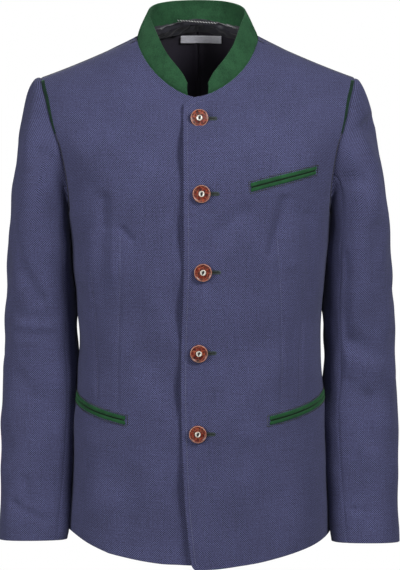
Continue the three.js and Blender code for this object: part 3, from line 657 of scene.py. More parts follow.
def birdseye(name, dark, light):
    """Birdseye wool: light and dark yarns cross in a checker, as the product of two sines. Fine noise makes
    them uneven, each crossing stands up a little, and slow noise along both yarns shades the cloth."""
    material, tree, shader = new_material(name)
    uv = add_node(tree, "UVMap", uv_map="grain").outputs[0]
    waver = noise(tree, uv, 90.0, 2.0).outputs["Color"]
    waver = add_node(tree, "VectorMath", {0: waver, 1: (-0.5, -0.5, -0.5)}, operation="ADD").outputs[0]
    bent = add_node(tree, "VectorMath", {0: waver, 1: (0.0009, 0.0009, 0), 2: uv}, operation="MULTIPLY_ADD")
    parts = add_node(tree, "SeparateXYZ", {0: bent.outputs[0]})
    warp, weft = (
        reckon(tree, "SINE", reckon(tree, "MULTIPLY", parts.outputs[k], 2 * math.pi / WEAVE)) for k in (0, 1)
    )
    eyes = reckon(tree, "MULTIPLY_ADD", reckon(tree, "MULTIPLY", warp, weft), 0.75, 0.5)
    mottle = reckon(tree, "MULTIPLY_ADD", noise(tree, uv, 520.0, 3.0, 0.6).outputs["Fac"], 1.5, -0.75)
    share = reckon(tree, "ADD", eyes, mottle, clamp=True)
    tones = noise(tree, uv, 14.0, 3.0).outputs["Fac"]
    for stretch in ((28.0, 640.0, 1.0), (640.0, 28.0, 1.0)):
        lay = add_node(tree, "Mapping", {"Vector": uv, "Scale": stretch}).outputs[0]
        tones = reckon(tree, "ADD", noise(tree, lay, 1.0, 2.0).outputs["Fac"], tones)
    limits = {"Value": tones, "From Min": 1.05, "From Max": 1.95, "To Min": 0.78, "To Max": 1.22}
    fade = add_node(tree, "MapRange", limits).outputs[0]
    yarn = blend(tree, share, dark, light)
    color = add_node(tree, "VectorMath", {0: yarn, 3: fade}, operation="SCALE").outputs[0]
    dress(
        tree, shader, color, (share, 0.35, 0.0005), Roughness=0.88, Specular_IOR_Level=0.25,
        Sheen_Weight=0.12, Sheen_Roughness=0.5, Sheen_Tint=(0.55, 0.58, 0.75, 1),
    )
    return material


def satin(name, color):
    """Lining satin: fine ribs along the grain, smooth enough to gleam."""
    material, tree, shader = new_material(name)
    uv = add_node(tree, "UVMap", uv_map="grain").outputs[0]
    stretch = add_node(tree, "Mapping", {"Vector": uv, "Scale": (2600.0, 120.0, 1.0)}).outputs[0]
    ribs = noise(tree, stretch, 1.0, 2.0).outputs["Fac"]
    tone = blend(tree, ribs, [0.6 * c for c in color], [1.5 * c for c in color])
    dress(tree, shader, tone, (ribs, 0.2, 0.0002), Roughness=0.38, Sheen_Weight=0.1)
    return material


blue_wool = birdseye("blue_wool", dark=(0.0035, 0.004, 0.016), light=(0.082, 0.086, 0.186))
black_satin = satin("black_satin", color=(0.022, 0.019, 0.029))


def near_front(side, rows):
    """The near ends of a front's rows: up the edge from the hem, round the top corner, over to the
    collar's end and along the neckline."""
    hem = lambda turn: hem_level(turn, side)
    edge = lambda z: smooth_curve(FRONT_EDGE, 1, z) if side > 0 else np.full(np.shape(z), -float(UNDERLAP))
    corner = 7.0 if side > 0 else 4.0
    top = float(neck_z(edge(np.array(-NECK_FRONT_DROP)))) - corner
    z = np.where(
        rows < LOWER,
        mix(float(hem(-math.pi / 2)), CHEST_LINE, climb(rows)),
        mix(CHEST_LINE, top, (rows - LOWER) / (FRONT_CHEST - 1)),
    )
    z = np.minimum(z, top)
    x = edge(z)
    # The lower corner is rounded over the last few millimetres above the hem.
    round_off = np.clip(1 - (z - z[0]) / 9, 0, 1)
    x = x + 9 * (1 - np.sqrt(1 - 0.85 * round_off**2)) * 0.7
    # The top corner is a quarter of a circle between the edge and the neckline.
    corner_row = LOWER + FRONT_CHEST - 1
    turned = np.clip(rows - corner_row, 0, 1) * math.pi / 2
    over = float(edge(np.array(top)))
    x = np.where(rows > corner_row, over + corner * (1 - np.cos(turned)), x)
    z = np.where(rows > corner_row, top + corner * np.sin(turned), z)
    back_to_centre = np.clip((rows - corner_row - 1) / 2, 0, 1)
    x = np.where(rows > corner_row + 1, (over + corner) * (1 - back_to_centre), x)
    to_collar = np.clip(rows - corner_row - 3, 0, 1)
    x = np.where(rows > corner_row + 3, COLLAR_END * to_collar, x)
    z = np.where(rows > corner_row + 1, neck_z(x), z)
    spots = seen_at(x, z)
    neck = np.clip(rows - corner_row - 4, 0, STATIONS)
    return np.where((rows > corner_row + 4)[:, None], front_neck(neck), spots)


def front_outline(side):
    """The front edge and the top edge seen from the front: x and z of a line that starts at the hem."""
    rows = np.concatenate([np.linspace(0, 17, 90), np.linspace(17, 21, 24)[1:]])
    return worn(side, lifted(near_front(side, rows)))[:, [0, 2]]


def distance_to(line, x, z):
    """The shortest distance from x, z to a line of many points, over all its pieces at once."""
    a, b = line[:-1], line[1:]
    step = b - a
    px, pz = x[..., None] - a[:, 0], z[..., None] - a[:, 1]
    t = np.clip((px * step[:, 0] + pz * step[:, 1]) / np.sum(step**2, -1), 0, 1)
    return np.sqrt(((px - t * step[:, 0]) ** 2 + (pz - t * step[:, 1]) ** 2).min(-1))


def dart_place(dart, z):
    """The sideways place of a dart's line at each height."""
    table = np.array(sorted(dart), float)
    return np.interp(z, table[:, 0], table[:, 1])


def align(shares, spots_at, side, darts):
    """Shares moved along each row so that one column follows each dart: the place where the row crosses
    the dart is found on a coarse row, and the columns between are spread evenly by straight pieces."""
    t = np.linspace(0, 1, 61)
    coarse = spots_at(np.broadcast_to(t, (shares.shape[0], 61)))
    p = worn(side, body_point(coarse[..., 0], coarse[..., 1]))
    marks, targets = [], []
    for dart in darts:
        miss = side * (p[..., 0] - dart_place(dart, p[..., 2]))
        k = np.clip((miss > 0).argmax(1), 1, 60)
        row = np.arange(len(k))
        before, after = miss[row, k - 1], miss[row, k]
        found = t[k - 1] + (t[k] - t[k - 1]) * np.clip(-before / (after - before), 0, 1)
        targets.append(found)
        middle = int(round(0.4 * len(found)))
        marks.append(int(np.abs(shares[middle] - found[middle]).argmin()))
    keep = [0, 14, *marks, shares.shape[1] - 6, shares.shape[1] - 1]
    moved = shares.copy()
    for n, found in zip(marks, targets):
        i = keep.index(n)
        low, high = shares[:, keep[i - 1]], shares[:, keep[i + 1]]
        place = shares[:, n]
        found = np.clip(found, mix(low, place, 0.35), mix(high, place, 0.35))
        shift = found - place
        up = np.clip((shares - low[:, None]) / (place - low)[:, None], 0, 1)
        down = np.clip((high[:, None] - shares) / (high - place)[:, None], 0, 1)
        moved += shift[:, None] * np.minimum(up, down)
    return moved


FRONT_ROWS = np.concatenate(
    [
        [0, 0.012, 0.03, 0.06, 0.1],
        np.linspace(0.17, 10, 150),
        np.linspace(10, 17, 58)[1:],
        np.linspace(17, 18, 7)[1:],
        np.linspace(18, 20, 9)[1:],
        np.linspace(20, 21, 6)[1:],
        np.linspace(21, 29, 42)[1:],
    ]
)
EDGE_OFFSETS = [0, 0.5, 1.1, 1.8, 2.7, 3.6, 4.3, 4.8, 5.2, 5.6, 6.0, 6.6, 7.6, 9.2, 11.5]
SEAM_OFFSETS = [0, 0.5, 1.1, 1.8, 2.8, 4.2]
SELF_FACING = 85  # the front's inner face is wool as far as this from its edge, and satin beyond
HEM_FACING = 32
FACES = {}  # the outer face of each front, for what is sewn on it


def front(side):
    """One front: the ruled rows of its spots, lifted by the lap, the folds, and the puff of the lapping
    edge between buttons, and lowered along its darts, seams and topstitching as bell curves."""
    hem = lambda turn: hem_level(turn, side)
    arm = lambda share: armhole(ARMHOLE_FRONT, False, share)
    darts = DARTS_LEFT if side > 0 else DARTS_RIGHT
    near, far = near_front(side, FRONT_ROWS), side_seam(FRONT_ROWS, hem, arm)
    width = row_lengths(near, far)
    shares = graded(84, EDGE_OFFSETS, SEAM_OFFSETS, width)
    spots_at = lambda s: ruled(near, far, FRONT_ROWS, s, hem)
    shares = align(shares, spots_at, side, darts)
    spots = spots_at(shares)
    flat = body_point(spots[..., 0], spots[..., 1])
    seen = worn(side, flat)
    x, z = seen[..., 0], seen[..., 2]
    lift = lap_lift(side, flat[..., 0])
    to_far = (1 - shares) * width[:, None]
    to_near = shares * width[:, None]
    calm = ramp(2, 26, to_far) * ramp(0, 14, to_near) * ramp(0, 30, np.abs(flat[..., 1] - RIDGE_Y))
    folds = fold_lift(FOLDS_LEFT if side > 0 else FOLDS_RIGHT, x, z)
    lift = lift + calm * (folds + ripple(x, z, 74, RIPPLE, 3 + side))
    for dart in darts:
        fade = ramp(dart[-1][0] + 6, dart[-1][0] - 14, z) * ramp(dart[0][0] - 2, dart[0][0] + 3, z)
        off = np.abs(x - dart_place(dart, z))
        lift -= fade * (DART_DEPTH * bell(off, DART_WIDE) + 0.35 * bell(off, 7))
    seam = mix(0.45, 0.9, ramp(-262, -235, z))
    lift -= seam * bell(to_far, 1.6)
    between = np.cos(np.interp(-z, -BUTTON_LEVELS, np.arange(len(BUTTON_LEVELS))) * 2 * math.pi)
    buttoned = ramp(-104, -112, z) * ramp(-560, -531, z)
    if side > 0:
        border = distance_to(front_outline(side), x, z)
        near_edge = to_near < 30
        lift -= near_edge * 0.35 * bell(border - TOPSTITCH, 0.8)
        lift += near_edge * 0.25 * np.exp(-(((border - 2.6) / 1.8) ** 2))
        puff = 0.5 * (1 - between) * buttoned
        corner = bell(x + 17, 12) * bell(z + 93, 12)
        swell = 2.0 * puff + 1.4 * ramp(-532, -640, z)
        lift += swell * ramp(34, -10, flat[..., 0]) + 2.2 * corner
    else:
        sag = 2.0 + 2.2 * (1 - between) * buttoned + 3.6 * ramp(-532, -600, z)
        lift -= sag * ramp(54, 24, flat[..., 0]) * ramp(-82, -98, z)
    outer = worn(side, lifted(spots, lift))
    FACES[side] = outer
    thin = ramp(0, 3, to_near)
    inner = worn(side, lifted(spots, lift - CLOTH + 0.35 * (1 - thin)))
    above_hem = spots[..., 1] - hem(spots[..., 0])
    lined = (centres(to_near) > SELF_FACING) & (centres(above_hem) > HEM_FACING)
    name = "front_left_cloth" if side > 0 else "front_right_cloth"
    uv = grain(spots) * [side, 1]
    return wall(name, outer, inner, uv, [blue_wool, black_satin], bulge=0.9, lined=lined, flush=True)


for side, node in ((1, "front_left"), (-1, "front_right")):
    piece = front(side)
    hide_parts(node)

# ---------------------------------------------------------------- the two backs
# Two panels of the same wool, joined by a seam down centre back and by the side and shoulder seams to the
# fronts.
BACK_ROWS = np.concatenate(
    [
        [0, 0.012, 0.03, 0.06, 0.1],
        np.linspace(0.17, 10, 130),
        np.linspace(10, 16, 56)[1:],
        np.linspace(16, 24, 34)[1:],
    ]
)
CENTRE_GAP = 0.0004
FOLDS_BACK = [
    (150, -245, 100, -300, 16, 1.4),
    (130, -400, 60, -380, 18, 1.0),
    (-150, -245, -95, -290, 16, 1.3),
    (-130, -395, -60, -385, 18, 1.0),
    (150, -120, 120, -230, 14, 1.1),
    (-150, -120, -124, -220, 14, 1.1),
    (70, -560, 80, -690, 18, 1.2),
    (-90, -560, -84, -690, 18, 1.2),
]


def back_neck(station):
    """The spots of the back neckline from the shoulder seam (0) to centre back, on a quarter ellipse seen
    from above."""
    a = np.asarray(station, float) / STATIONS * math.pi / 2
    spots = above_at(NECK_HALF * np.cos(a), RIDGE_Y + NECK_BACK_REACH * np.sin(a))
    spots[np.asarray(station) <= 0] = ridge_at(NECK_HALF, True)
    return spots


def near_back(rows):
    """The near ends of a back's rows: up centre back, closer together towards the nape, then along the
    neckline to the shoulder seam."""
    centre = math.pi / 2 - CENTRE_GAP
    hem = float(hem_level(centre, -1))
    nape = float(back_neck(np.array([STATIONS]))[0, 1])
    t = 1 - (1 - np.clip((rows - LOWER) / BACK_CHEST, 0, 1)) ** 1.7
    level = np.where(rows < LOWER, mix(hem, ARMPIT_LEVEL, climb(rows)), mix(ARMPIT_LEVEL, nape, t))
    spine = np.stack([np.full(len(rows), centre), level], -1)
    neck = back_neck(np.clip(STATIONS - (rows - LOWER - BACK_CHEST), 0, STATIONS))
    neck[:, 0] = np.minimum(neck[:, 0], centre)
    return np.where((rows > LOWER + BACK_CHEST)[:, None], neck, spine)


def back_spots(rows, count):
    """The spots of a back panel and how far each lies from its near and far ends."""
    hem = lambda turn: hem_level(turn, -1)
    arm = lambda share: armhole(ARMHOLE_BACK, True, share)
    near, far = near_back(rows), side_seam(rows, hem, arm)
    width = row_lengths(near, far)
    shares = graded(count, SEAM_OFFSETS, SEAM_OFFSETS, width)
    return ruled(near, far, rows, shares, hem), shares * width[:, None], (1 - shares) * width[:, None]


def back(side):
    """One back: its ruled spots, lifted by folds and lowered beside its seams."""
    spots, to_near, to_far = back_spots(BACK_ROWS, 66)
    flat = body_point(spots[..., 0], spots[..., 1])
    seen = worn(side, flat)
    x, z = seen[..., 0], seen[..., 2]
    calm = ramp(2, 26, to_far) * ramp(2, 20, to_near) * ramp(0, 30, np.abs(flat[..., 1] - RIDGE_Y))
    lift = calm * (fold_lift(FOLDS_BACK, x, z) + ripple(x, z, 90, BACK_RIPPLE, 11 + side))
    seam = mix(0.45, 0.9, ramp(-262, -235, z))
    lift -= 0.8 * bell(to_near, 1.6) + seam * bell(to_far, 1.6)
    outer = worn(side, lifted(spots, lift))
    inner = worn(side, lifted(spots, np.minimum(lift, 0.6) - CLOTH))
    name = "back_left_cloth" if side > 0 else "back_right_cloth"
    lined = centres(spots[..., 1] - hem_level(spots[..., 0], -1)) > HEM_FACING
    uv = grain(spots) * [side, 1]
    return wall(name, outer, inner, uv, [blue_wool, black_satin], lined=lined, flush=True)


for side, node in ((1, "back_left"), (-1, "back_right")):
    piece = back(side)
    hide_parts(node)

# ---------------------------------------------------------------- the sleeves
# Each sleeve is cut in two, an outer top sleeve and a narrower under sleeve, and hangs almost straight; its
# cuff is plain, faced with its own cloth and lined with black satin above.
SLEEVE_CLOTH = 1.6
# height, middle sideways, middle in depth, half width, half depth, pitch of the front edge, lift outside
SLEEVE = [
    (-710, 239.6, -32, 46.6, 49, 0.2, 0),
    (-656, 236, -22, 48.4, 51, 0.17, 0),
    (-587, 232.8, -9, 51.3, 55, 0.12, 0),
    (-516, 229.9, 1, 52.9, 59, 0.06, 0),
    (-444, 227.6, 7, 51.4, 64, 0.02, 0),
    (-372, 224.5, 9, 51, 71, 0, 0),
    (-310, 225, 8, 46, 79, 0, 6),
    (-266, 225.8, 6, 40.4, 83, 0, 22),
]
BICEPS = -266
SLEEVE_CLEAR = 0.5
SLEEVE_PRESS = {1: -500, -1: -445}  # below this height the sleeve rests against the body
SLEEVE_PRESSED = 7.0
ELBOW_EASE = {1: 2.5, -1: 0}
ELBOW_LEVEL, ELBOW_REACH = -430, 50
HEAD_FALL = {1: 1.95, -1: 2.3}
HEAD_REACH = 10
CUFF_DROP = {1: 3.5, -1: 0}
FRONT_STEPS, BACK_STEPS = 19, 14  # of the armhole
ARM_STEPS = FRONT_STEPS + BACK_STEPS
FRONT_SEAM = {1: 7, -1: 6}  # the sleeve's front seam, in steps from the armpit
BACK_SEAM = 7
SLEEVE_SQUARE = 0.88  # below 1 the sleeve's section is squarer than an ellipse
FOLDS_SLEEVE_LEFT = [
    (212, -125, 243, -115, 5, -1.6),
    (236, -120, 252, -160, 7, -1.4),
    (209, -193, 222, -193, 8, -1.2),
    (224, -215, 226, -400, 10, 1.2),
    (203, -300, 206, -420, 6, -1.0),
    (240, -500, 246, -562, 8, -1.3),
    (235, -574, 240, -590, 8, 1.4),
    (219, -659, 231, -658, 4, -0.9),
    (214, -420, 250, -440, 9, -1.2),
    (214, -445, 250, -462, 9, 1.0),
    (212, -480, 240, -500, 8, -0.8),
    (246, -260, 252, -330, 9, -1.0),
]
FOLDS_SLEEVE_RIGHT = [
    (-215, -155, -189, -168, 7, -1.2),
    (-246, -298, -216, -361, 7, -1.1),
    (-246, -319, -224, -361, 7, -0.8),
    (-240, -300, -214, -345, 6, 0.6),
    (-248, -384, -206, -390, 7, -0.8),
    (-245, -409, -206, -411, 7, -0.8),
    (-248, -397, -206, -400, 6, 0.5),
    (-204, -290, -205, -361, 8, 1.2),
    (-243, -616, -238, -644, 5, -1.4),
    (-257, -652, -215, -673, 5, -1.5),
    (-235, -520, -222, -600, 9, 1.0),
    (-250, -470, -225, -500, 8, -1.0),
    (-224, -180, -226, -260, 10, 0.9),
]


def arm_loop(steps):
    """The armhole all round at fractional steps from the armpit up the front, over the shoulder and down the
    back: the spots, the outer points, the inner points and the direction off the body's edge."""
    steps = np.asarray(steps, float) % ARM_STEPS
    fore = steps <= FRONT_STEPS
    share_front = np.clip(steps / FRONT_STEPS, 0, 1)
    share_back = np.clip((ARM_STEPS - steps) / BACK_STEPS, 0, 1)
    at = lambda nudge: np.where(
        fore[:, None],
        armhole(ARMHOLE_FRONT, False, np.clip(share_front + nudge, 0, 1)),
        armhole(ARMHOLE_BACK, True, np.clip(share_back - nudge, 0, 1)),
    )
    spots = at(0)
    along = lifted(at(0.012)) - lifted(at(-0.012))
    off = unit(np.cross(along, outward(spots)))
    return spots, lifted(spots) + 0.1 * off, lifted(spots, -CLOTH) + 0.1 * off, off


def arm_angle(steps):
    """The angle round the sleeve at each step: the armpit's lies as far back as the side seam."""
    armpit_y = arm_loop([0.0])[1][0, 1]
    start = -math.asin((armpit_y - SLEEVE[-1][2]) / SLEEVE[-1][4])
    steps = np.asarray(steps, float)
    wrapped = steps % ARM_STEPS
    angle = np.where(
        wrapped <= FRONT_STEPS,
        mix(start, math.pi, wrapped / FRONT_STEPS),
        mix(math.pi, start + 2 * math.pi, (wrapped - FRONT_STEPS) / BACK_STEPS),
    )
    return angle + 2 * math.pi * (steps // ARM_STEPS)


def sleeve_ring(side, z, angle):
    """The sleeve below the biceps: squared ellipses about its middle, the front edge pitched up and the
    outer side lifted. The inner side is pressed towards the body or away from it, and kept clear of it."""
    x, y, half, deep, pitch, lift = (smooth_curve(SLEEVE, k, z) for k in range(1, 7))
    drop = CUFF_DROP[side] * ramp(-300, -710, z)
    square = lambda v: np.sign(v) * np.abs(v) ** SLEEVE_SQUARE
    out, ahead = -np.cos(angle), np.sin(angle)
    rise = pitch * deep * ahead + lift * np.maximum(0, (1 + out) / 2)
    p = np.stack(
        np.broadcast_arrays(x + half * square(out), y - deep * square(ahead), z + rise - drop), -1
    )
    low = ramp(SLEEVE_PRESS[side] + 30, SLEEVE_PRESS[side] - 30, p[..., 2])
    press = SLEEVE_PRESSED * (low * ramp(-755, -690, p[..., 2]) + ramp(-335, -285, p[..., 2]))
    press -= ELBOW_EASE[side] * bell(p[..., 2] - ELBOW_LEVEL, ELBOW_REACH)
    p[..., 0] -= press * np.maximum(0, -out)
    b_half, b_front, b_back, b_square = (smooth_curve(BODY, k, p[..., 2]) for k in (1, 2, 3, 4))
    depth = p[..., 1] - RIDGE_Y
    depth_share = np.minimum(1, np.abs(depth) / np.where(depth < 0, b_front, b_back))
    beside = b_half * quarter(depth_share, b_square)
    p[..., 0] = np.maximum(p[..., 0], beside + SLEEVE_CLEAR)
    return p


def sleeve_grid(side, steps, low_rows, cap_rows):
    """The sleeve's outer face at the steps: rings from cuff to biceps, and above them the cap, which
    leaves the armhole outward first and then falls ever more steeply to the biceps."""
    angle = arm_angle(steps)
    z = mix(SLEEVE[0][0], BICEPS, low_rows)[:, None]
    tube = sleeve_ring(side, z, angle[None, :])
    _, start, inner_start, off = arm_loop(steps)
    end = tube[-1]
    t = 1 - cap_rows[1:, None]
    settle = 1 + 0.8 * np.sin(angle) ** 2 + 1.5 * np.maximum(0, np.cos(angle)) ** 2
    across = 1 - (1 - t) ** settle
    down = t ** HEAD_FALL[side]
    share = np.stack([across, across, np.broadcast_to(down, across.shape)], -1)
    cap = mix(start, end, share) + off * (HEAD_REACH * t * (1 - t) ** 2)[..., None]
    return np.concatenate([tube, cap]), inner_start


def grid_normals(grid):
    """The direction across both grid directions at each point."""
    return unit(np.cross(np.gradient(grid, axis=1), np.gradient(grid, axis=0)))


def arc_lengths(grid, axis):
    """The length along the grid from its first row or column, in metres."""
    steps = np.linalg.norm(np.diff(grid, axis=axis), axis=-1)
    total = np.cumsum(steps, axis=axis) / 1000
    return np.insert(total, 0, 0, axis=axis)


SLEEVE_LOW = np.concatenate([[0, 0.0012, 0.003, 0.006], np.linspace(0.011, 1, 138)])
SLEEVE_CAP = np.concatenate([np.linspace(0, 0.965, 46), [0.975, 0.985, 0.993, 1.0]])
CUFF_FACING = 45


def sleeve_strip(side, name, first, last, columns, node):
    """One half of a sleeve between two seams, in steps of the armhole: the outer face lifted by its folds
    and lowered beside its seams, and the inner face a wall's thickness behind it."""
    edge = np.array([0, 0.05, 0.12, 0.2, 0.32])
    middle = np.linspace(first + 0.5, last - 0.5, columns)
    steps = np.concatenate([first + edge, middle, last - edge[::-1]])
    grid, inner_start = sleeve_grid(side, steps, SLEEVE_LOW, SLEEVE_CAP)
    normal = grid_normals(grid)
    seen = worn(side, grid)
    x, z = seen[..., 0], seen[..., 2]
    ahead = ramp(10, -20, grid[..., 1] - smooth_curve(SLEEVE, 2, np.clip(z, -710, BICEPS)))
    across = arc_lengths(grid, 1) * 1000
    to_first, to_last = across, across[:, -1:] - across
    to_arm = 1000 * (arc_lengths(grid, 0)[-1:] - arc_lengths(grid, 0))
    folds = FOLDS_SLEEVE_LEFT if side > 0 else FOLDS_SLEEVE_RIGHT
    girth = grid[..., 1] * 1.3 + grid[..., 0] * 0.4
    uneven = ripple(girth, z * 0.8, 70, RIPPLE, 21 + side)
    lift = ahead * fold_lift(folds, x, z) + (0.35 + 0.65 * ahead) * uneven
    elbow = bell(z + 400, 70)
    lift += (1 - ahead) * elbow * 1.3 * np.sin(z / 9.5 + girth / 30)
    lift *= ramp(0, 22, to_arm) * ramp(0, 12, to_first) * ramp(0, 12, to_last)
    for off in (to_first, to_last):
        lift -= 0.6 * bell(off, 1.5) + 0.3 * bell(off, 5)
    lift -= 0.8 * bell(to_arm, 1.5)
    lift += 0.7 * bell(to_arm - 7, 5) * ramp(-215, -150, z)
    outer = grid + normal * lift[..., None]
    inner = grid + normal * (np.minimum(lift, 0.5) - SLEEVE_CLOTH)[..., None]
    inner[-1] = inner_start
    u, v = arc_lengths(grid, 1) - arc_lengths(grid, 1)[:, -1:] / 2, arc_lengths(grid, 0)
    # Over the cap the grain keeps to the directions it has at the biceps: round the arm, and up or inward.
    biceps = len(SLEEVE_LOW) - 1
    round_arm = unit(np.gradient(grid[biceps], axis=0))
    u[biceps:] = u[biceps] + np.sum((grid[biceps:] - grid[biceps]) * round_arm, -1) / 1000
    steps_up = np.diff(grid[biceps:], axis=0)
    rise = np.sum(steps_up**2, -1) - np.sum(steps_up * round_arm, -1) ** 2
    v[biceps + 1 :] = v[biceps] + np.cumsum(np.sqrt(np.maximum(rise, 0)), axis=0) / 1000
    uv = np.stack([u, v], -1)
    lined = centres(arc_lengths(grid, 0)) * 1000 > CUFF_FACING
    piece = wall(
        name, worn(side, outer), worn(side, inner), uv * [side, 1], [blue_wool, black_satin], lined=lined
    )
    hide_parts(node)


for side, word in ((1, "left"), (-1, "right")):
    seam, back_seam = FRONT_SEAM[side], ARM_STEPS - BACK_SEAM
    name, node = "top_sleeve_cloth_" + word, "top_sleeve_" + word
    sleeve_strip(side, name, seam, back_seam, 74, node)
    name, node = "under_sleeve_cloth_" + word, "under_sleeve_" + word
    sleeve_strip(side, name, back_seam, ARM_STEPS + seam, 54, node)

# ---------------------------------------------------------------- the collar
# A stand collar of thick green felt, cut in one piece and sewn to the neckline; its ends stop short of
# centre front and its top edge is rounded.
COLLAR_CLOTH = 2.6
# station of the neckline, and the top edge's place there
COLLAR_TOP = [
    (0, 14.9, -73, -60.5),
    (1, 20.5, -70, -49),
    (2, 29.2, -66, -38),
    (3, 38.5, -58.5, -27),
    (4, 47.5, -48, -13.5),
    (5, 54.5, -35, 0.5),
    (6, 60.5, -20, 12.5),
    (7, 65.5, -5, 23),
    (8, 69.5, 9, 32),
    (9, 69, 19.5, 38),
    (10, 64.5, 29.5, 42.5),
    (11, 57.5, 38.5, 45.8),
    (12, 48, 46, 48),
    (13, 37, 51.5, 49.6),
    (14, 25, 55.3, 50.5),
    (15, 12.5, 57.6, 51),
    (16, 0, 58.4, 51.2),
]


def neck_loop(side, stations):
    """The neckline's outer and inner points from the collar's end (0) over the shoulder seam (8) to centre
    back (16)."""
    stations = np.asarray(stations, float)
    at = lambda s: np.where(
        (s <= STATIONS)[:, None],
        front_neck(np.clip(s, 0, STATIONS)),
        back_neck(np.clip(s - STATIONS, 0, STATIONS)),
    )
    spots = at(stations)
    ahead = lifted(at(np.clip(stations + 0.04, 0, 2 * STATIONS)))
    behind = lifted(at(np.clip(stations - 0.04, 0, 2 * STATIONS)))
    off = -unit(np.cross(ahead - behind, outward(spots)))
    stand = lap_lift(side, body_point(spots[:, 0], spots[:, 1])[:, 0]) * (stations <= STATIONS)
    return lifted(spots, stand) + 0.1 * off, lifted(spots, stand - CLOTH) + 0.1 * off


def felt(name, dark, light):
    """Wool felt: cloudy fibres in two sizes of noise, with a soft nap."""
    material, tree, shader = new_material(name)
    place = add_node(tree, "TexCoord").outputs["Object"]
    fibre = noise(tree, place, 620.0, 4.0, 0.7).outputs["Fac"]
    cloud = noise(tree, place, 70.0, 2.0).outputs["Fac"]
    share = reckon(tree, "MULTIPLY_ADD", fibre, 1.3, -0.55)
    share = reckon(tree, "MULTIPLY_ADD", cloud, 0.8, share, clamp=True)
    dress(
        tree, shader, blend(tree, share, dark, light), (fibre, 0.5, 0.0007), Roughness=0.95,
        Specular_IOR_Level=0.2, Sheen_Weight=0.25, Sheen_Roughness=0.4, Sheen_Tint=(0.4, 0.8, 0.5, 1),
    )
    return material


band_satin = satin("band_satin", color=(0.026, 0.026, 0.033))
green_felt = felt("green_felt", dark=(0.004, 0.022, 0.010), light=(0.025, 0.093, 0.039))


def collar():
    """From neckline to top edge: straight lines that bow out a little, and the inner face a wall's
    thickness inside them. The directions out are evened along the collar, each a mean of its neighbours."""
    stations = np.concatenate([[0, 0.03, 0.08, 0.16], np.linspace(0.3, 16, 150)])
    rise = np.concatenate([[0, 0.012, 0.03, 0.06], np.linspace(0.1, 0.94, 22), [0.965, 0.985, 1.0]])
    halves = {}
    for side in (-1, 1):
        foot, foot_in = neck_loop(side, stations)
        top = np.stack([smooth_curve(COLLAR_TOP, k, stations) for k in (1, 2, 3)], -1)
        if side > 0:
            top[:, 1] -= LAP_LIFT * ramp(4, 0, stations)
            top[:, 0] -= 2.6 * ramp(4, 7, stations) * ramp(14, 11, stations)
        halves[side] = [worn(side, p) for p in (foot, foot_in, top)]
    foot, foot_in, top = (np.concatenate([halves[-1][k], halves[1][k][-2::-1]]) for k in range(3))
    grid = mix(foot, top, rise[:, None, None])
    normal = grid_normals(grid)
    middle = np.array([0, 10, 0])
    if np.sum(normal * (grid - middle)) < 0:
        normal = -normal
    normal[:5] = normal[5]
    for _ in range(8):
        normal[:, 1:-1] = (normal[:, :-2] + 2 * normal[:, 1:-1] + normal[:, 2:]) / 4
    normal = unit(normal)
    high = arc_lengths(grid, 0) * 1000
    along = arc_lengths(grid, 1) * 1000
    lift = 1.2 * np.sin(math.pi * rise)[:, None] + ripple(along, high, 60, 0.35, 5)
    lift -= 1.0 * bell(high, 2.0)
    outer = grid + normal * lift[..., None]
    inner = grid + normal * (lift - COLLAR_CLOTH)[..., None]
    inner[0] = foot_in
    outer[0] = foot
    uv = np.stack([along, high], -1) / 1000
    # Behind the neck the yoke's satin is turned up over the collar's inner seam.
    covered = 1.5 + 6.5 * (centres(inner[..., 0]) / 60) ** 2
    lined = (centres(high) < covered) & (centres(inner[..., 1]) > 18)
    return wall("collar_felt", outer, inner, uv, [green_felt, band_satin], bulge=0.5, lined=lined)


piece = collar()
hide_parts("collar")

# ---------------------------------------------------------------- pocket welts
# Each pocket has two narrow lips of green felt, above and below its slit, framed by a line of dark green
# stitches.
STAND = 0.3
POCKETS = [
    {"name": "breast_welt", "side": 1, "from": (69, -198), "to": (158, -177.6)},
    {"name": "pocket_left_welt", "side": 1, "from": (96, -519), "to": (175, -500)},
    {"name": "pocket_right_welt", "side": -1, "from": (102.5, -519.5), "to": (175, -503)},
]
LIP_HIGH = 4.9
LIP_SLIT = 1.8
LIP_THICK = 1.7


def panel_lift(side, spots):
    """How far the front's face stands off the body there, without its seams."""
    flat = body_point(spots[..., 0], spots[..., 1])
    seen = worn(side, flat)
    folds = fold_lift(FOLDS_LEFT if side > 0 else FOLDS_RIGHT, seen[..., 0], seen[..., 2])
    return lap_lift(side, flat[..., 0]) + folds + ripple(seen[..., 0], seen[..., 2], 74, RIPPLE, 3 + side)


def lip(pocket, up):
    """A lip between the slit and its outer edge: a rounded ridge, as half a superellipse, along a straight
    line on the front."""
    a, b = (seen_at(*map(float, pocket[key])) for key in ("from", "to"))
    t = np.linspace(0, 1, 60)
    v = np.linspace(0, 1, 10)
    spots = mix(a, b, t[None, :, None]) + np.zeros((len(v), 1, 2))
    spots[..., 1] += up * (LIP_SLIT / 2 + v * LIP_HIGH)[:, None]
    round_over = quarter(2 * v - 1, 3)[:, None] * quarter(2 * t - 1, 14)
    wobble = 0.15 * np.sin(t * 41 + up) * np.sin(t * 17)
    lift = panel_lift(pocket["side"], spots)
    ridge = STAND + LIP_THICK * (0.35 + 0.65 * round_over) + wobble
    outer = worn(pocket["side"], lifted(spots, lift + ridge))
    inner = worn(pocket["side"], lifted(spots, lift - 0.4))
    uv = np.stack([arc_lengths(outer, 1), arc_lengths(outer, 0)], -1)
    name = pocket["name"] + ("_upper" if up > 0 else "_lower")
    piece = wall(name + "_felt", outer, inner, uv, [welt_felt], bulge=0.2)
    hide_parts(name)


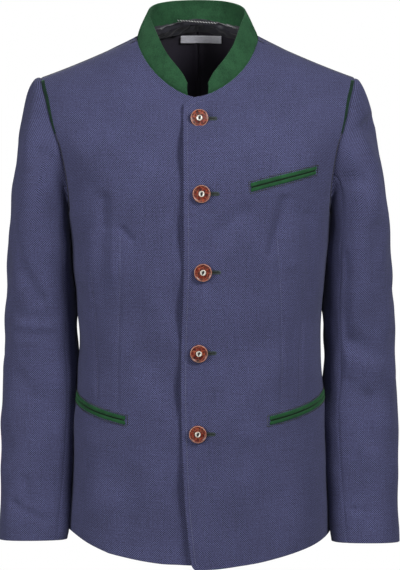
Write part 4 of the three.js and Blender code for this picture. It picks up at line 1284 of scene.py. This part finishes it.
welt_felt = felt("welt_felt", dark=(0.003, 0.020, 0.007), light=(0.016, 0.082, 0.029))
# pocket_shade is near black: painted shade inside the pocket slits.
pocket_shade = felt("pocket_shade", dark=(0.001, 0.003, 0.002), light=(0.003, 0.008, 0.004))


def mouth(pocket):
    """The slit between the lips: a flat near-black strip a little above the cloth, painted shade of the
    slit's depth.
    """
    a, b = (seen_at(*map(float, pocket[key])) for key in ("from", "to"))
    t = np.linspace(0.01, 0.99, 40)
    spots = mix(a, b, t[None, :, None]) + np.zeros((3, 1, 2))
    spots[..., 1] += np.array([-1.0, 0, 1.0])[:, None] * LIP_SLIT
    lift = panel_lift(pocket["side"], spots)
    outer = worn(pocket["side"], lifted(spots, lift + 0.75))
    inner = worn(pocket["side"], lifted(spots, lift - 0.4))
    uv = np.stack([arc_lengths(outer, 1), arc_lengths(outer, 0)], -1)
    wall(pocket["name"] + "_mouth", outer, inner, uv, [pocket_shade], bulge=0.0)


for pocket in POCKETS:
    lip(pocket, 1)
    lip(pocket, -1)
    mouth(pocket)

# ---------------------------------------------------------------- shoulder inlays
# A double piping of green felt is let in beside each armhole seam, from the shoulder down, and tapers off
# over the chest.
# length and end are shares of the armhole's front half
INLAY = {"length": 7 / 19, "end": 0.982, "wide": 4.4, "tip": 2.4, "thick": 0.8}


def inlay(side):
    """Two rounded ridges side by side, as the absolute value of a sine, along the armhole."""
    share = np.linspace(1 - INLAY["length"], INLAY["end"], 70)
    _, _, _, off = arm_loop(share * FRONT_STEPS - 1e-6)
    spots = armhole(ARMHOLE_FRONT, False, share)
    across = np.linspace(0, 1, 17)
    way = np.linspace(0, 1, len(share))
    wide = mix(INLAY["tip"], INLAY["wide"], ramp(0, 0.7, way))
    ridge = np.abs(np.sin(2 * math.pi * across)) ** 0.6
    thick = INLAY["thick"] * mix(0.5, 1, ramp(0, 0.3, way) * ramp(1, 0.93, way))
    base = np.stack([lifted(spots) - off * (0.4 + a * wide)[:, None] for a in across])
    out = outward(spots)
    outer = base + out * (0.5 + thick * ridge[:, None])[..., None]
    inner = base - out * 0.3
    uv = np.stack([arc_lengths(outer, 1), arc_lengths(outer, 0)], -1)
    word = "left" if side > 0 else "right"
    outer, inner = worn(side, outer), worn(side, inner)
    piece = wall("shoulder_inlay_felt_" + word, outer, inner, uv, [dark_felt], bulge=0.1)
    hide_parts("shoulder_inlay_" + word)


dark_felt = felt("dark_felt", dark=(0.001, 0.004, 0.003), light=(0.010, 0.033, 0.020))
inlay(1)
inlay(-1)

# ---------------------------------------------------------------- stitching
# The lapping edge and the darts are stitched in blue thread, each pocket is framed in dark green thread, and
# each buttonhole is a slit bound all round in green purl stitches. Along each armhole a row of near-black
# beads is painted shade of the seam's crease.
BUTTONS = [(2.7, -107.5), (5.5, -205.5), (7.4, -311), (2, -422.5), (0.6, -533)]
# length, pitch, thickness, height above the cloth
EDGE_STITCH = (2.7, 3.3, 0.5, 0.25)
DART_STITCH = (1.5, 3.1, 0.6, 0.1)
FRAME_STITCH = (1.9, 3.2, 1.7, 0.45)
ARMHOLE_SHADE_BEADS = (2.2, 2.3, 1.4, 0.4)
PURL_STITCH = (2.0, 0.95, 0.85, 0.35)
EYELET_STITCH = (6.4, 1.1, 1.5, 5.5)
FRAME_OFF = (2.4, 1.9)  # from the lips' ends, and from their long sides


def thread(name, color):
    """Twisted thread: slanting plies across its own place, a little glossy."""
    material, tree, shader = new_material(name)
    place = add_node(tree, "TexCoord").outputs["Object"]
    values = {"Vector": place, "Scale": 900.0, "Distortion": 2.0}
    plies = add_node(tree, "TexWave", values, bands_direction="DIAGONAL").outputs["Fac"]
    tone = blend(tree, plies, [0.6 * c for c in color], color)
    dress(tree, shader, tone, None, Roughness=0.6, Sheen_Weight=0.2)
    return material


blue_thread = thread("blue_thread", (0.13, 0.135, 0.22))
green_thread = thread("green_thread", (0.003, 0.012, 0.006))
grey_green_thread = thread("grey_green_thread", (0.016, 0.040, 0.028))
# Near black: painted shade in the buttonhole slits; the thread in the buttons' eyelets uses it too.
slit_shade = thread("slit_shade", (0.003, 0.006, 0.005))
# Near blue-black: painted shade in the armhole seam's crease.
armhole_crease_shade = thread("armhole_crease_shade", (0.006, 0.006, 0.014))


def stitches(name, middles, along, out, kind, material):
    """One low bead for each stitch: rings whose radius follows half an ellipse along the stitch."""
    length, _, thick, _ = kind
    shares = np.array([-1, -0.8, -0.3, 0.3, 0.8, 1])
    radius = thick / 2 * np.sqrt(np.maximum(0.04, 1 - shares**2))
    turns = np.arange(6) / 6 * 2 * math.pi
    along, out = unit(along), unit(out)
    side = unit(np.cross(along, out))
    ring = (
        shares[None, :, None, None] * length / 2 * along[:, None, None, :]
        + (radius[:, None] * np.cos(turns))[None, ..., None] * side[:, None, None, :]
        + (radius[:, None] * np.sin(turns))[None, ..., None] * out[:, None, None, :]
    )
    points = (middles[:, None, None, :] + ring).reshape(-1, 3)
    count, rings, sides = len(middles), len(shares), len(turns)
    n, i, k = np.meshgrid(np.arange(count), np.arange(rings - 1), np.arange(sides), indexing="ij")
    a = (n * rings + i) * sides + k
    b = (n * rings + i) * sides + (k + 1) % sides
    quads = np.stack([a, b, b + sides, a + sides], -1).reshape(-1, 4)
    caps = []
    for i in (0, rings - 1):
        base = (np.arange(count) * rings + i)[:, None] * sides
        order = np.array([[0, 1, 2, 3], [0, 3, 4, 5]])
        order = order[:, ::-1] if i == 0 else order
        caps.append((base[..., None] + order).reshape(-1, 4))
    piece = make_object(name, points, np.concatenate([quads, *caps]), [material])


def resample(line, step):
    """Points at equal steps along a line, and the direction of the line there."""
    length = np.append(0, np.cumsum(np.linalg.norm(np.diff(line, axis=0), axis=1)))
    at = np.arange(step / 2, length[-1], step)
    put = lambda s: np.stack([np.interp(s, length, line[:, k]) for k in range(line.shape[1])], -1)
    return put(at), put(at + 0.2) - put(at - 0.2)


def inset(line, by):
    """A line seen from the front moved sideways by a distance, at right angles to its own direction."""
    step = unit(np.gradient(line, axis=0))
    return line + by * np.stack([step[:, 1], -step[:, 0]], -1)


def on_front(side, x, z, height):
    """Points at a height above a front's face, seen at x and z, and the direction out there: the mean of
    the planes that touch the face at its four nearest points, by one over the distance squared."""
    face, normal = FACES[side], grid_normals(FACES[side])
    normal = -normal * np.sign(normal[..., 1].mean())
    own_x, own_z = np.ravel(x)[:, None], np.ravel(z)[:, None]
    close = (face[..., 0] > own_x.min() - 8) & (face[..., 0] < own_x.max() + 8)
    close &= (face[..., 2] > own_z.min() - 8) & (face[..., 2] < own_z.max() + 8) & (normal[..., 1] < -0.1)
    p, n = face[close], normal[close]
    far = (own_x - p[:, 0]) ** 2 + (own_z - p[:, 2]) ** 2
    k = np.argpartition(far, 4, axis=1)[:, :4]
    share = 1 / (np.take_along_axis(far, k, 1) + 0.02)
    share /= share.sum(1, keepdims=True)
    y = p[k, 1] - (n[k, 0] * (own_x - p[k, 0]) + n[k, 2] * (own_z - p[k, 2])) / n[k, 1]
    out = unit((n[k] * share[..., None]).sum(1))
    seen = np.hstack([own_x, (y * share).sum(1, keepdims=True), own_z]) + out * height
    return seen.reshape(*np.shape(x), 3), out.reshape(*np.shape(x), 3)


outline = front_outline(1)
outline = outline[outline[:, 0] < 11]
_, pitch, _, height = EDGE_STITCH
at, direction = resample(inset(outline, TOPSTITCH), pitch)
middles, out = on_front(1, at[:, 0], at[:, 1], height)
ahead, _ = on_front(1, (at + direction)[:, 0], (at + direction)[:, 1], height)
stitches("edge_topstitching", middles, ahead - middles, out, EDGE_STITCH, blue_thread)

_, pitch, _, height = DART_STITCH
for side, darts in ((1, DARTS_LEFT), (-1, DARTS_RIGHT)):
    for number, dart in enumerate(darts):
        z = np.arange(dart[0][0] + 6, dart[-1][0] - 3, pitch)
        middles, out = on_front(side, dart_place(dart, z), z, height)
        ahead, _ = on_front(side, dart_place(dart, z + 1), z + 1, height)
        name = ("left" if side > 0 else "right") + "_dart_" + str(number + 1) + "_stitching"
        stitches(name, middles, ahead - middles, out, DART_STITCH, blue_thread)


def frame_stitches(pocket):
    """Stitches along a rectangle round the lips, which is bent to the front's face."""
    side, (_, pitch, _, height) = pocket["side"], FRAME_STITCH
    (x0, z0), (x1, z1) = pocket["from"], pocket["to"]
    a, b = seen_at(float(x0), float(z0)), seen_at(float(x1), float(z1))
    past, tall = FRAME_OFF[0] / math.hypot(x1 - x0, z1 - z0), LIP_SLIT / 2 + LIP_HIGH + FRAME_OFF[1]
    corners = np.array([(-past, -tall), (1 + past, -tall), (1 + past, tall), (-past, tall), (-past, -tall)])
    line, _ = resample(corners * [x1 - x0, 1], 0.5)
    spots = mix(a, b, line[:, :1] / (x1 - x0))
    spots[:, 1] += line[:, 1]
    path = worn(side, lifted(spots, panel_lift(side, spots)))
    path, out = on_front(side, path[:, 0], path[:, 2], height)
    middles, direction = resample(path, pitch)
    order = np.argsort(path[:, 0], kind="stable")
    out = np.stack([np.interp(middles[:, 0], path[order, 0], out[order, k]) for k in range(3)], -1)
    stitches(pocket["name"] + "_stitching", middles, direction, out, FRAME_STITCH, green_thread)


for pocket in POCKETS:
    frame_stitches(pocket)

# Along the armhole seam, from the tip of the inlay down to the armpit, a sunk row of near-black stitch beads
# is painted shade of the seam's crease.
for side in (1, -1):
    word = "left" if side > 0 else "right"
    spots = armhole(ARMHOLE_FRONT, False, np.linspace(0.03, 1.01 - INLAY["length"], 90))
    seam = worn(side, body_point(spots[:, 0], spots[:, 1]))
    middles, direction = resample(seam, ARMHOLE_SHADE_BEADS[1])
    middles, out = on_front(side, middles[:, 0] - side * 1.6, middles[:, 2], ARMHOLE_SHADE_BEADS[3])
    stitches("armhole_crease_shade_" + word + "_stitching", middles, direction, out, ARMHOLE_SHADE_BEADS, armhole_crease_shade)


def buttonhole(number, x, z):
    """A slit from under the button towards the side, bound by purl stitches that stand across it and turn
    round its end. The slit is a flat near-black strip: painted shade of the cut."""
    reach = 23.5
    long, pitch, _, height = PURL_STITCH
    t = np.arange(3, reach - 2, pitch)
    round_end = np.linspace(-80, 80, 6) * math.pi / 180
    gap = 0.75
    hx = np.concatenate([t, t, reach - 2 + 0.2 + np.cos(round_end) * gap])
    hz = np.concatenate([np.full(len(t), gap), np.full(len(t), -gap), np.sin(round_end) * gap])
    dx = np.concatenate([np.zeros(2 * len(t)), np.cos(round_end)])
    dz = np.concatenate([np.ones(len(t)), -np.ones(len(t)), np.sin(round_end)])
    mid_x, mid_z = x + hx + dx * long / 2, z + hz + dz * long / 2
    middles, out = on_front(1, mid_x, mid_z, height)
    ends, _ = on_front(1, mid_x + dx, mid_z + dz, height)
    name = "buttonhole_" + number
    stitches(name + "_stitches", middles, ends - middles, out, PURL_STITCH, grey_green_thread)
    u, v = np.meshgrid(np.linspace(2.5, reach - 1.6, 24), np.linspace(-1.1, 1.1, 5), indexing="ij")
    top, _ = on_front(1, x + u, z + v, 0.15)
    low, _ = on_front(1, x + u, z + v, -0.3)
    uv = np.stack([u, v], -1) / 1000
    # The slit is a flat near-black strip just above the cloth: painted shade of the cut.
    slit = wall(name + "_slit", top, low, uv, [slit_shade], bulge=0.0)


for k, (x, z) in enumerate(BUTTONS):
    buttonhole(str(k + 1), x, z)

# ---------------------------------------------------------------- buttons
# Five round buttons of mottled red-brown imitation horn, each with a thin rim, a hollowed face and a pale
# eyelet at its middle, through which the thread holds it.
BUTTON_FACE = [
    (2.6, 0),
    (2.6, 1.2),
    (9.2, 1.4),
    (11.2, 2.0),
    (12.1, 2.9),
    (12.25, 3.6),
    (12.15, 4.3),
    (11.8, 4.9),
    (11.2, 5.25),
    (10.6, 5.2),
    (10.1, 4.8),
    (9.4, 4.5),
    (7.5, 4.6),
    (5.0, 4.85),
    (3.6, 5.0),
    (2.2, 5.0),
    (0.3, 4.9),
]
EYELET = [(3.9, 4.7), (4.0, 5.2), (3.8, 5.6), (3.3, 5.75), (2.7, 5.6), (2.0, 5.3), (1.7, 4.95), (1.6, 4.3)]
BUTTON_STAND = 0.6


def fill_ramp(node, stops):
    """Sets a colour ramp's stops, each a position and a colour, from its dark end to its bright one."""
    elements = node.color_ramp.elements
    for element, (position, color) in zip(elements, (stops[0], stops[-1])):
        element.position = position
        element.color = (*color, 1)
    for position, color in stops[1:-1]:
        elements.new(position).color = (*color, 1)


def horn():
    """Imitation horn: orange-brown clouds broken by pale cracks, with a pale ring on the rim's crest that is
    partly the horn's own pale edge and partly a painted highlight, under a clear gloss."""
    material, tree, shader = new_material("mottled_horn")
    place = add_node(tree, "TexCoord").outputs["Object"]
    cloud = noise(tree, place, 330.0, 4.0, 0.65).outputs["Fac"]
    browns = add_node(tree, "ValToRGB", {"Fac": cloud})
    stops = [
        (0.36, (0.008, 0.002, 0.002)),
        (0.46, (0.050, 0.006, 0.004)),
        (0.56, (0.135, 0.014, 0.006)),
        (0.68, (0.300, 0.060, 0.022)),
    ]
    fill_ramp(browns, stops)
    values = {"Vector": place, "Scale": 160.0, "Randomness": 1.0}
    cracks = add_node(tree, "TexVoronoi", values, feature="DISTANCE_TO_EDGE").outputs["Distance"]
    limits = {"Value": cracks, "From Min": 0.0, "From Max": 0.06, "To Min": 0.7, "To Max": 0.0}
    thin = add_node(tree, "MapRange", limits).outputs[0]
    tone = blend(tree, thin, browns.outputs["Color"], (0.30, 0.10, 0.055))
    # A pale ring by radius on the rim's crest: partly the horn's own pale edge and partly a painted
    # highlight where the rim catches the light.
    uv = add_node(tree, "UVMap", uv_map="grain").outputs[0]
    from_middle = add_node(tree, "SeparateXYZ", {0: uv}).outputs[0]
    ring = add_node(tree, "ValToRGB", {"Fac": reckon(tree, "MULTIPLY", from_middle, 80.0)})
    fill_ramp(ring, [(0.865, (0, 0, 0)), (0.905, (1, 1, 1)), (0.945, (0, 0, 0))])
    pale = blend(tree, ring.outputs["Color"], tone, (0.46, 0.26, 0.19))
    dress(
        tree, shader, pale, (cloud, 0.25, 0.0006), Roughness=0.42, Specular_IOR_Level=0.3,
        Coat_Weight=0.25, Coat_Roughness=0.12,
    )
    return material


def bone():
    """The eyelet's pale insert: cream with a faint speckle, glossy."""
    material, tree, shader = new_material("cream_eyelet")
    speck = noise(tree, add_node(tree, "TexCoord").outputs["Object"], 900.0, 2.0).outputs["Fac"]
    tone = blend(tree, speck, (0.42, 0.40, 0.34), (0.75, 0.73, 0.66))
    dress(tree, shader, tone, None, Roughness=0.3, Metallic=0.35)
    return material


mottled_horn = horn()
cream_eyelet = bone()


def closed_tube(name, rings, ends, material, uv):
    """Rings of points, each joined to the next, and closed by a fan about a point at each end."""
    rows, sides = rings.shape[:2]
    i, k = np.meshgrid(np.arange(rows - 1), np.arange(sides), indexing="ij")
    a, b = i * sides + k, i * sides + (k + 1) % sides
    quads = np.stack([a, b, b + sides, a + sides], -1).reshape(-1, 4)
    pair = np.arange(0, sides, 2)
    low = np.stack([np.full(len(pair), rows * sides), (pair + 2) % sides, pair + 1, pair], -1)
    top = np.stack([np.full(len(pair), rows * sides + 1), pair, pair + 1, (pair + 2) % sides], -1)
    top[:, 1:] += (rows - 1) * sides
    points = np.concatenate([rings.reshape(-1, 3), ends])
    return make_object(name, points, np.concatenate([quads, low, top]), [material], uv)


def turned(name, profile, foot, out, material, sides=56):
    """A profile of radius and height turned about the line out of the cloth at foot, closed at both ends."""
    right = unit(np.cross([0, 0, 1.0], out))
    up = np.cross(out, right)
    angle = np.arange(sides) / sides * 2 * math.pi
    radius, height = np.array(profile, float).T
    rings = (
        foot
        + height[:, None, None] * out
        + (radius[:, None] * np.cos(angle))[..., None] * right
        + (radius[:, None] * np.sin(angle))[..., None] * up
    )
    size = np.broadcast_to(radius[:, None] / 1000, rings.shape[:2]).ravel()
    uv = np.stack([np.append(size, [0, 0]), np.append(np.tile(angle, len(radius)), [0, 0])], -1)
    return closed_tube(name, rings, [foot + height[0] * out, foot + height[-1] * out], material, uv)


for k, (x, z) in enumerate(BUTTONS):
    node = "button_" + str(k + 1)
    foot, out = on_front(1, np.array([x]), np.array([z]), BUTTON_STAND)
    foot, out = foot[0], unit(mix(out[0], np.array([0, -1.0, 0.06]), 0.75))
    disc = turned(node + "_disc", BUTTON_FACE, foot, out, mottled_horn)
    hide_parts(node)
    ring = turned(node + "_eyelet", EYELET, foot, out, cream_eyelet, sides=32)
    cross = unit(np.array([0.35, 0, 1.0]))
    side_step = unit(np.cross(cross, out))
    _, apart, _, height = EYELET_STITCH
    middles = np.array([foot + out * height + side_step * apart * s for s in (-0.5, 0.5)])
    both = np.ones((2, 1))
    # The eyelet's thread takes the near-black slit_shade colour: partly the thread's own dark colour and
    # partly painted shade in the eyelet's hole.
    stitches(node + "_thread", middles, both * cross, both * out, EYELET_STITCH, slit_shade)

# ---------------------------------------------------------------- inside the back
# The back is lined in black satin, in two halves with a seam at the centre; a satin band covers the neck
# seam, a bare woven label is sewn below it, and a silvery twisted cord makes the hanger loop; its second
# strand is near black, painted shade between the twists.
LINING_THICK = 1.0
LINING_GAP = 0.4
BAND = {"thick": 0.8, "wide": 13, "end": math.radians(18), "clear": 1.4}
LABEL = {"left": -25.7, "right": 35.7, "top": 4.0, "bottom": -7.0, "thick": 0.6, "clear": 2}
LOOP = {"left": -28.5, "right": 27.5, "clear": 11.5, "sag": 1.4, "lift_left": 4.0, "lift_right": -0.3}
LOOP.update({"turns": 14, "apart": 1.1, "thick": 1.3})  # of its two strands
ON_LINING = CLOTH + LINING_GAP + LINING_THICK + 0.3


def lining(side):
    """The back panel's spots above the lining's lower edge, a little inside the cloth, with soft ease
    folds that run down beside the centre seam."""
    rows = BACK_ROWS[BACK_ROWS > 7.2][::2]
    spots, to_near, to_far = back_spots(rows, 40)
    depth = CLOTH + LINING_GAP + 0.3
    ease = 0.6 * bell(to_near, 2.2) - 2.6 * bell(to_near - 6, 4)
    ease += ripple(to_near, spots[..., 1], 55, 0.5, 31 + side) * ramp(0, 15, to_near) * ramp(0, 15, to_far)
    face = worn(side, lifted(spots, -(depth + LINING_THICK) + np.minimum(ease, 0.3)))
    behind = worn(side, lifted(spots, -depth))
    name = "back_lining_satin_left" if side > 0 else "back_lining_satin_right"
    piece = wall(name, behind, face, grain(spots) * [side, 1], [black_satin], bulge=0.1)
    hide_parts("back_lining_left" if side > 0 else "back_lining_right")


lining(1)
lining(-1)


def neck_band():
    """A curved strip seen from above between two ellipses about the neck, rippled where it is gathered."""
    j = np.linspace(-1, 1, 161)
    share = np.linspace(-0.35, 1.15, 18)[:, None]
    a = j * (math.pi / 2 - BAND["end"])
    x = (NECK_HALF + BAND["wide"] * share) * np.sin(np.abs(a))
    y = RIDGE_Y + (NECK_BACK_REACH + BAND["wide"] * share) * np.cos(a)
    spots = above_at(np.maximum(x, 0.2), y)
    wrinkle = 0.6 * np.sin(31 * a + 5 * share) + 0.5 * np.sin(19 * a - 4 * share + 1)
    depth = mix(0.5, ON_LINING + BAND["clear"], ramp(-0.35, 0.15, share))
    sides = np.where(j < 0, -1.0, 1.0)
    behind, face = (worn(sides, lifted(spots, -d)) for d in (depth + 0 * x, depth + BAND["thick"] + wrinkle))
    uv = np.stack([arc_lengths(face, 0), arc_lengths(face, 1)], -1)
    piece = wall("neck_band_satin", behind, face, uv, [band_satin], bulge=0.2)
    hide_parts("neck_band")


neck_band()


def woven_tape():
    """Plain pale tape: fine ribs across it, slightly uneven."""
    material, tree, shader = new_material("label_tape")
    uv = add_node(tree, "UVMap", uv_map="grain").outputs[0]
    stretch = add_node(tree, "Mapping", {"Vector": uv, "Scale": (150.0, 1400.0, 1.0)}).outputs[0]
    ribs = noise(tree, stretch, 1.0, 3.0).outputs["Fac"]
    tone = blend(tree, ribs, (0.42, 0.42, 0.47), (0.85, 0.85, 0.92))
    dress(tree, shader, tone, (ribs, 0.3, 0.0003), Roughness=0.55)
    return material


def label():
    """A rectangle on the lining, seen from the front between its left and right ends."""
    across = np.linspace(LABEL["left"], LABEL["right"], 61)
    x, z = np.meshgrid(across, np.linspace(LABEL["bottom"], LABEL["top"], 14))
    spots = seen_at(np.maximum(np.abs(x), 0.2), z, True)
    sides = np.where(x < 0, -1.0, 1.0)
    depth = ON_LINING + LABEL["clear"]
    waver = 0.2 * np.sin(x / 6) * np.sin(z / 4)
    behind, face = (worn(sides, lifted(spots, -d)) for d in (depth + 0 * x, depth + LABEL["thick"] + waver))
    piece = wall("label_tape", behind, face, np.stack([x, z], -1) / 1000, [woven_tape()], bulge=0.2)
    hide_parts("label")


label()


def silver_cord(name, light):
    """Twisted rayon strand of the given lightness, silvery for the real cord and near black where it paints
    the shade between the twists: glossy plies that wind round the cord, from its own UV.
    """
    material, tree, shader = new_material(name)
    uv = add_node(tree, "UVMap", uv_map="grain").outputs[0]
    values = {"Vector": uv, "Scale": 210.0, "Distortion": 0.4}
    plies = add_node(tree, "TexWave", values, bands_direction="DIAGONAL").outputs["Fac"]
    tone = blend(tree, plies, (0.4 * light, 0.4 * light, 0.42 * light), (light, light, light))
    dress(tree, shader, tone, None, Roughness=0.3, Metallic=0.4)
    return material


def hanger_loop():
    """Two strands wound round each other along a shallow sag inside the neck seam: circles about a line
    that itself circles the loop's own line."""
    t = np.linspace(0, 1, 241)
    x = mix(LOOP["left"], LOOP["right"], t)
    sag = LOOP["sag"] * np.sin(t * math.pi)
    nape = float(lifted(back_neck(np.array([STATIONS])))[0, 2])
    y = RIDGE_Y + NECK_BACK_REACH * np.sqrt(1 - (x / NECK_HALF) ** 2) - LOOP["clear"] - sag
    z = nape - 2.5 - 0.002 * x * x - sag + mix(LOOP["lift_left"], LOOP["lift_right"], t)
    line = np.stack([x, y, z], -1)
    along = unit(np.gradient(line, axis=0))
    up = unit(np.cross(np.cross(along, [0, 0, 1.0]), along))
    side = np.cross(along, up)
    angle = np.arange(12) / 12 * 2 * math.pi
    for strand in (0, 1):
        wind = t * 2 * math.pi * LOOP["turns"] + strand * math.pi
        middle = line + LOOP["apart"] / 2 * (np.cos(wind)[:, None] * up + np.sin(wind)[:, None] * side)
        round_middle = np.cos(angle)[:, None] * up[:, None] + np.sin(angle)[:, None] * side[:, None]
        rings = middle[:, None] + LOOP["thick"] / 2 * round_middle
        uv = np.stack(np.meshgrid(t * 0.056, angle / 300, indexing="ij"), -1).reshape(-1, 2)
        uv = np.concatenate([uv, [(0, 0), (0.056, 0)]])
        name = "hanger_loop_strand_" + str(strand + 1)
        piece = closed_tube(name, rings, [middle[0], middle[-1]], cord_and_twist_shade[strand], uv)
        if strand == 0:
            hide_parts("hanger_loop")


# The second strand is near black: painted shade between the silvery twists.
cord_and_twist_shade = [silver_cord("silver_cord", 0.8), silver_cord("cord_twist_shade", 0.03)]
hanger_loop()
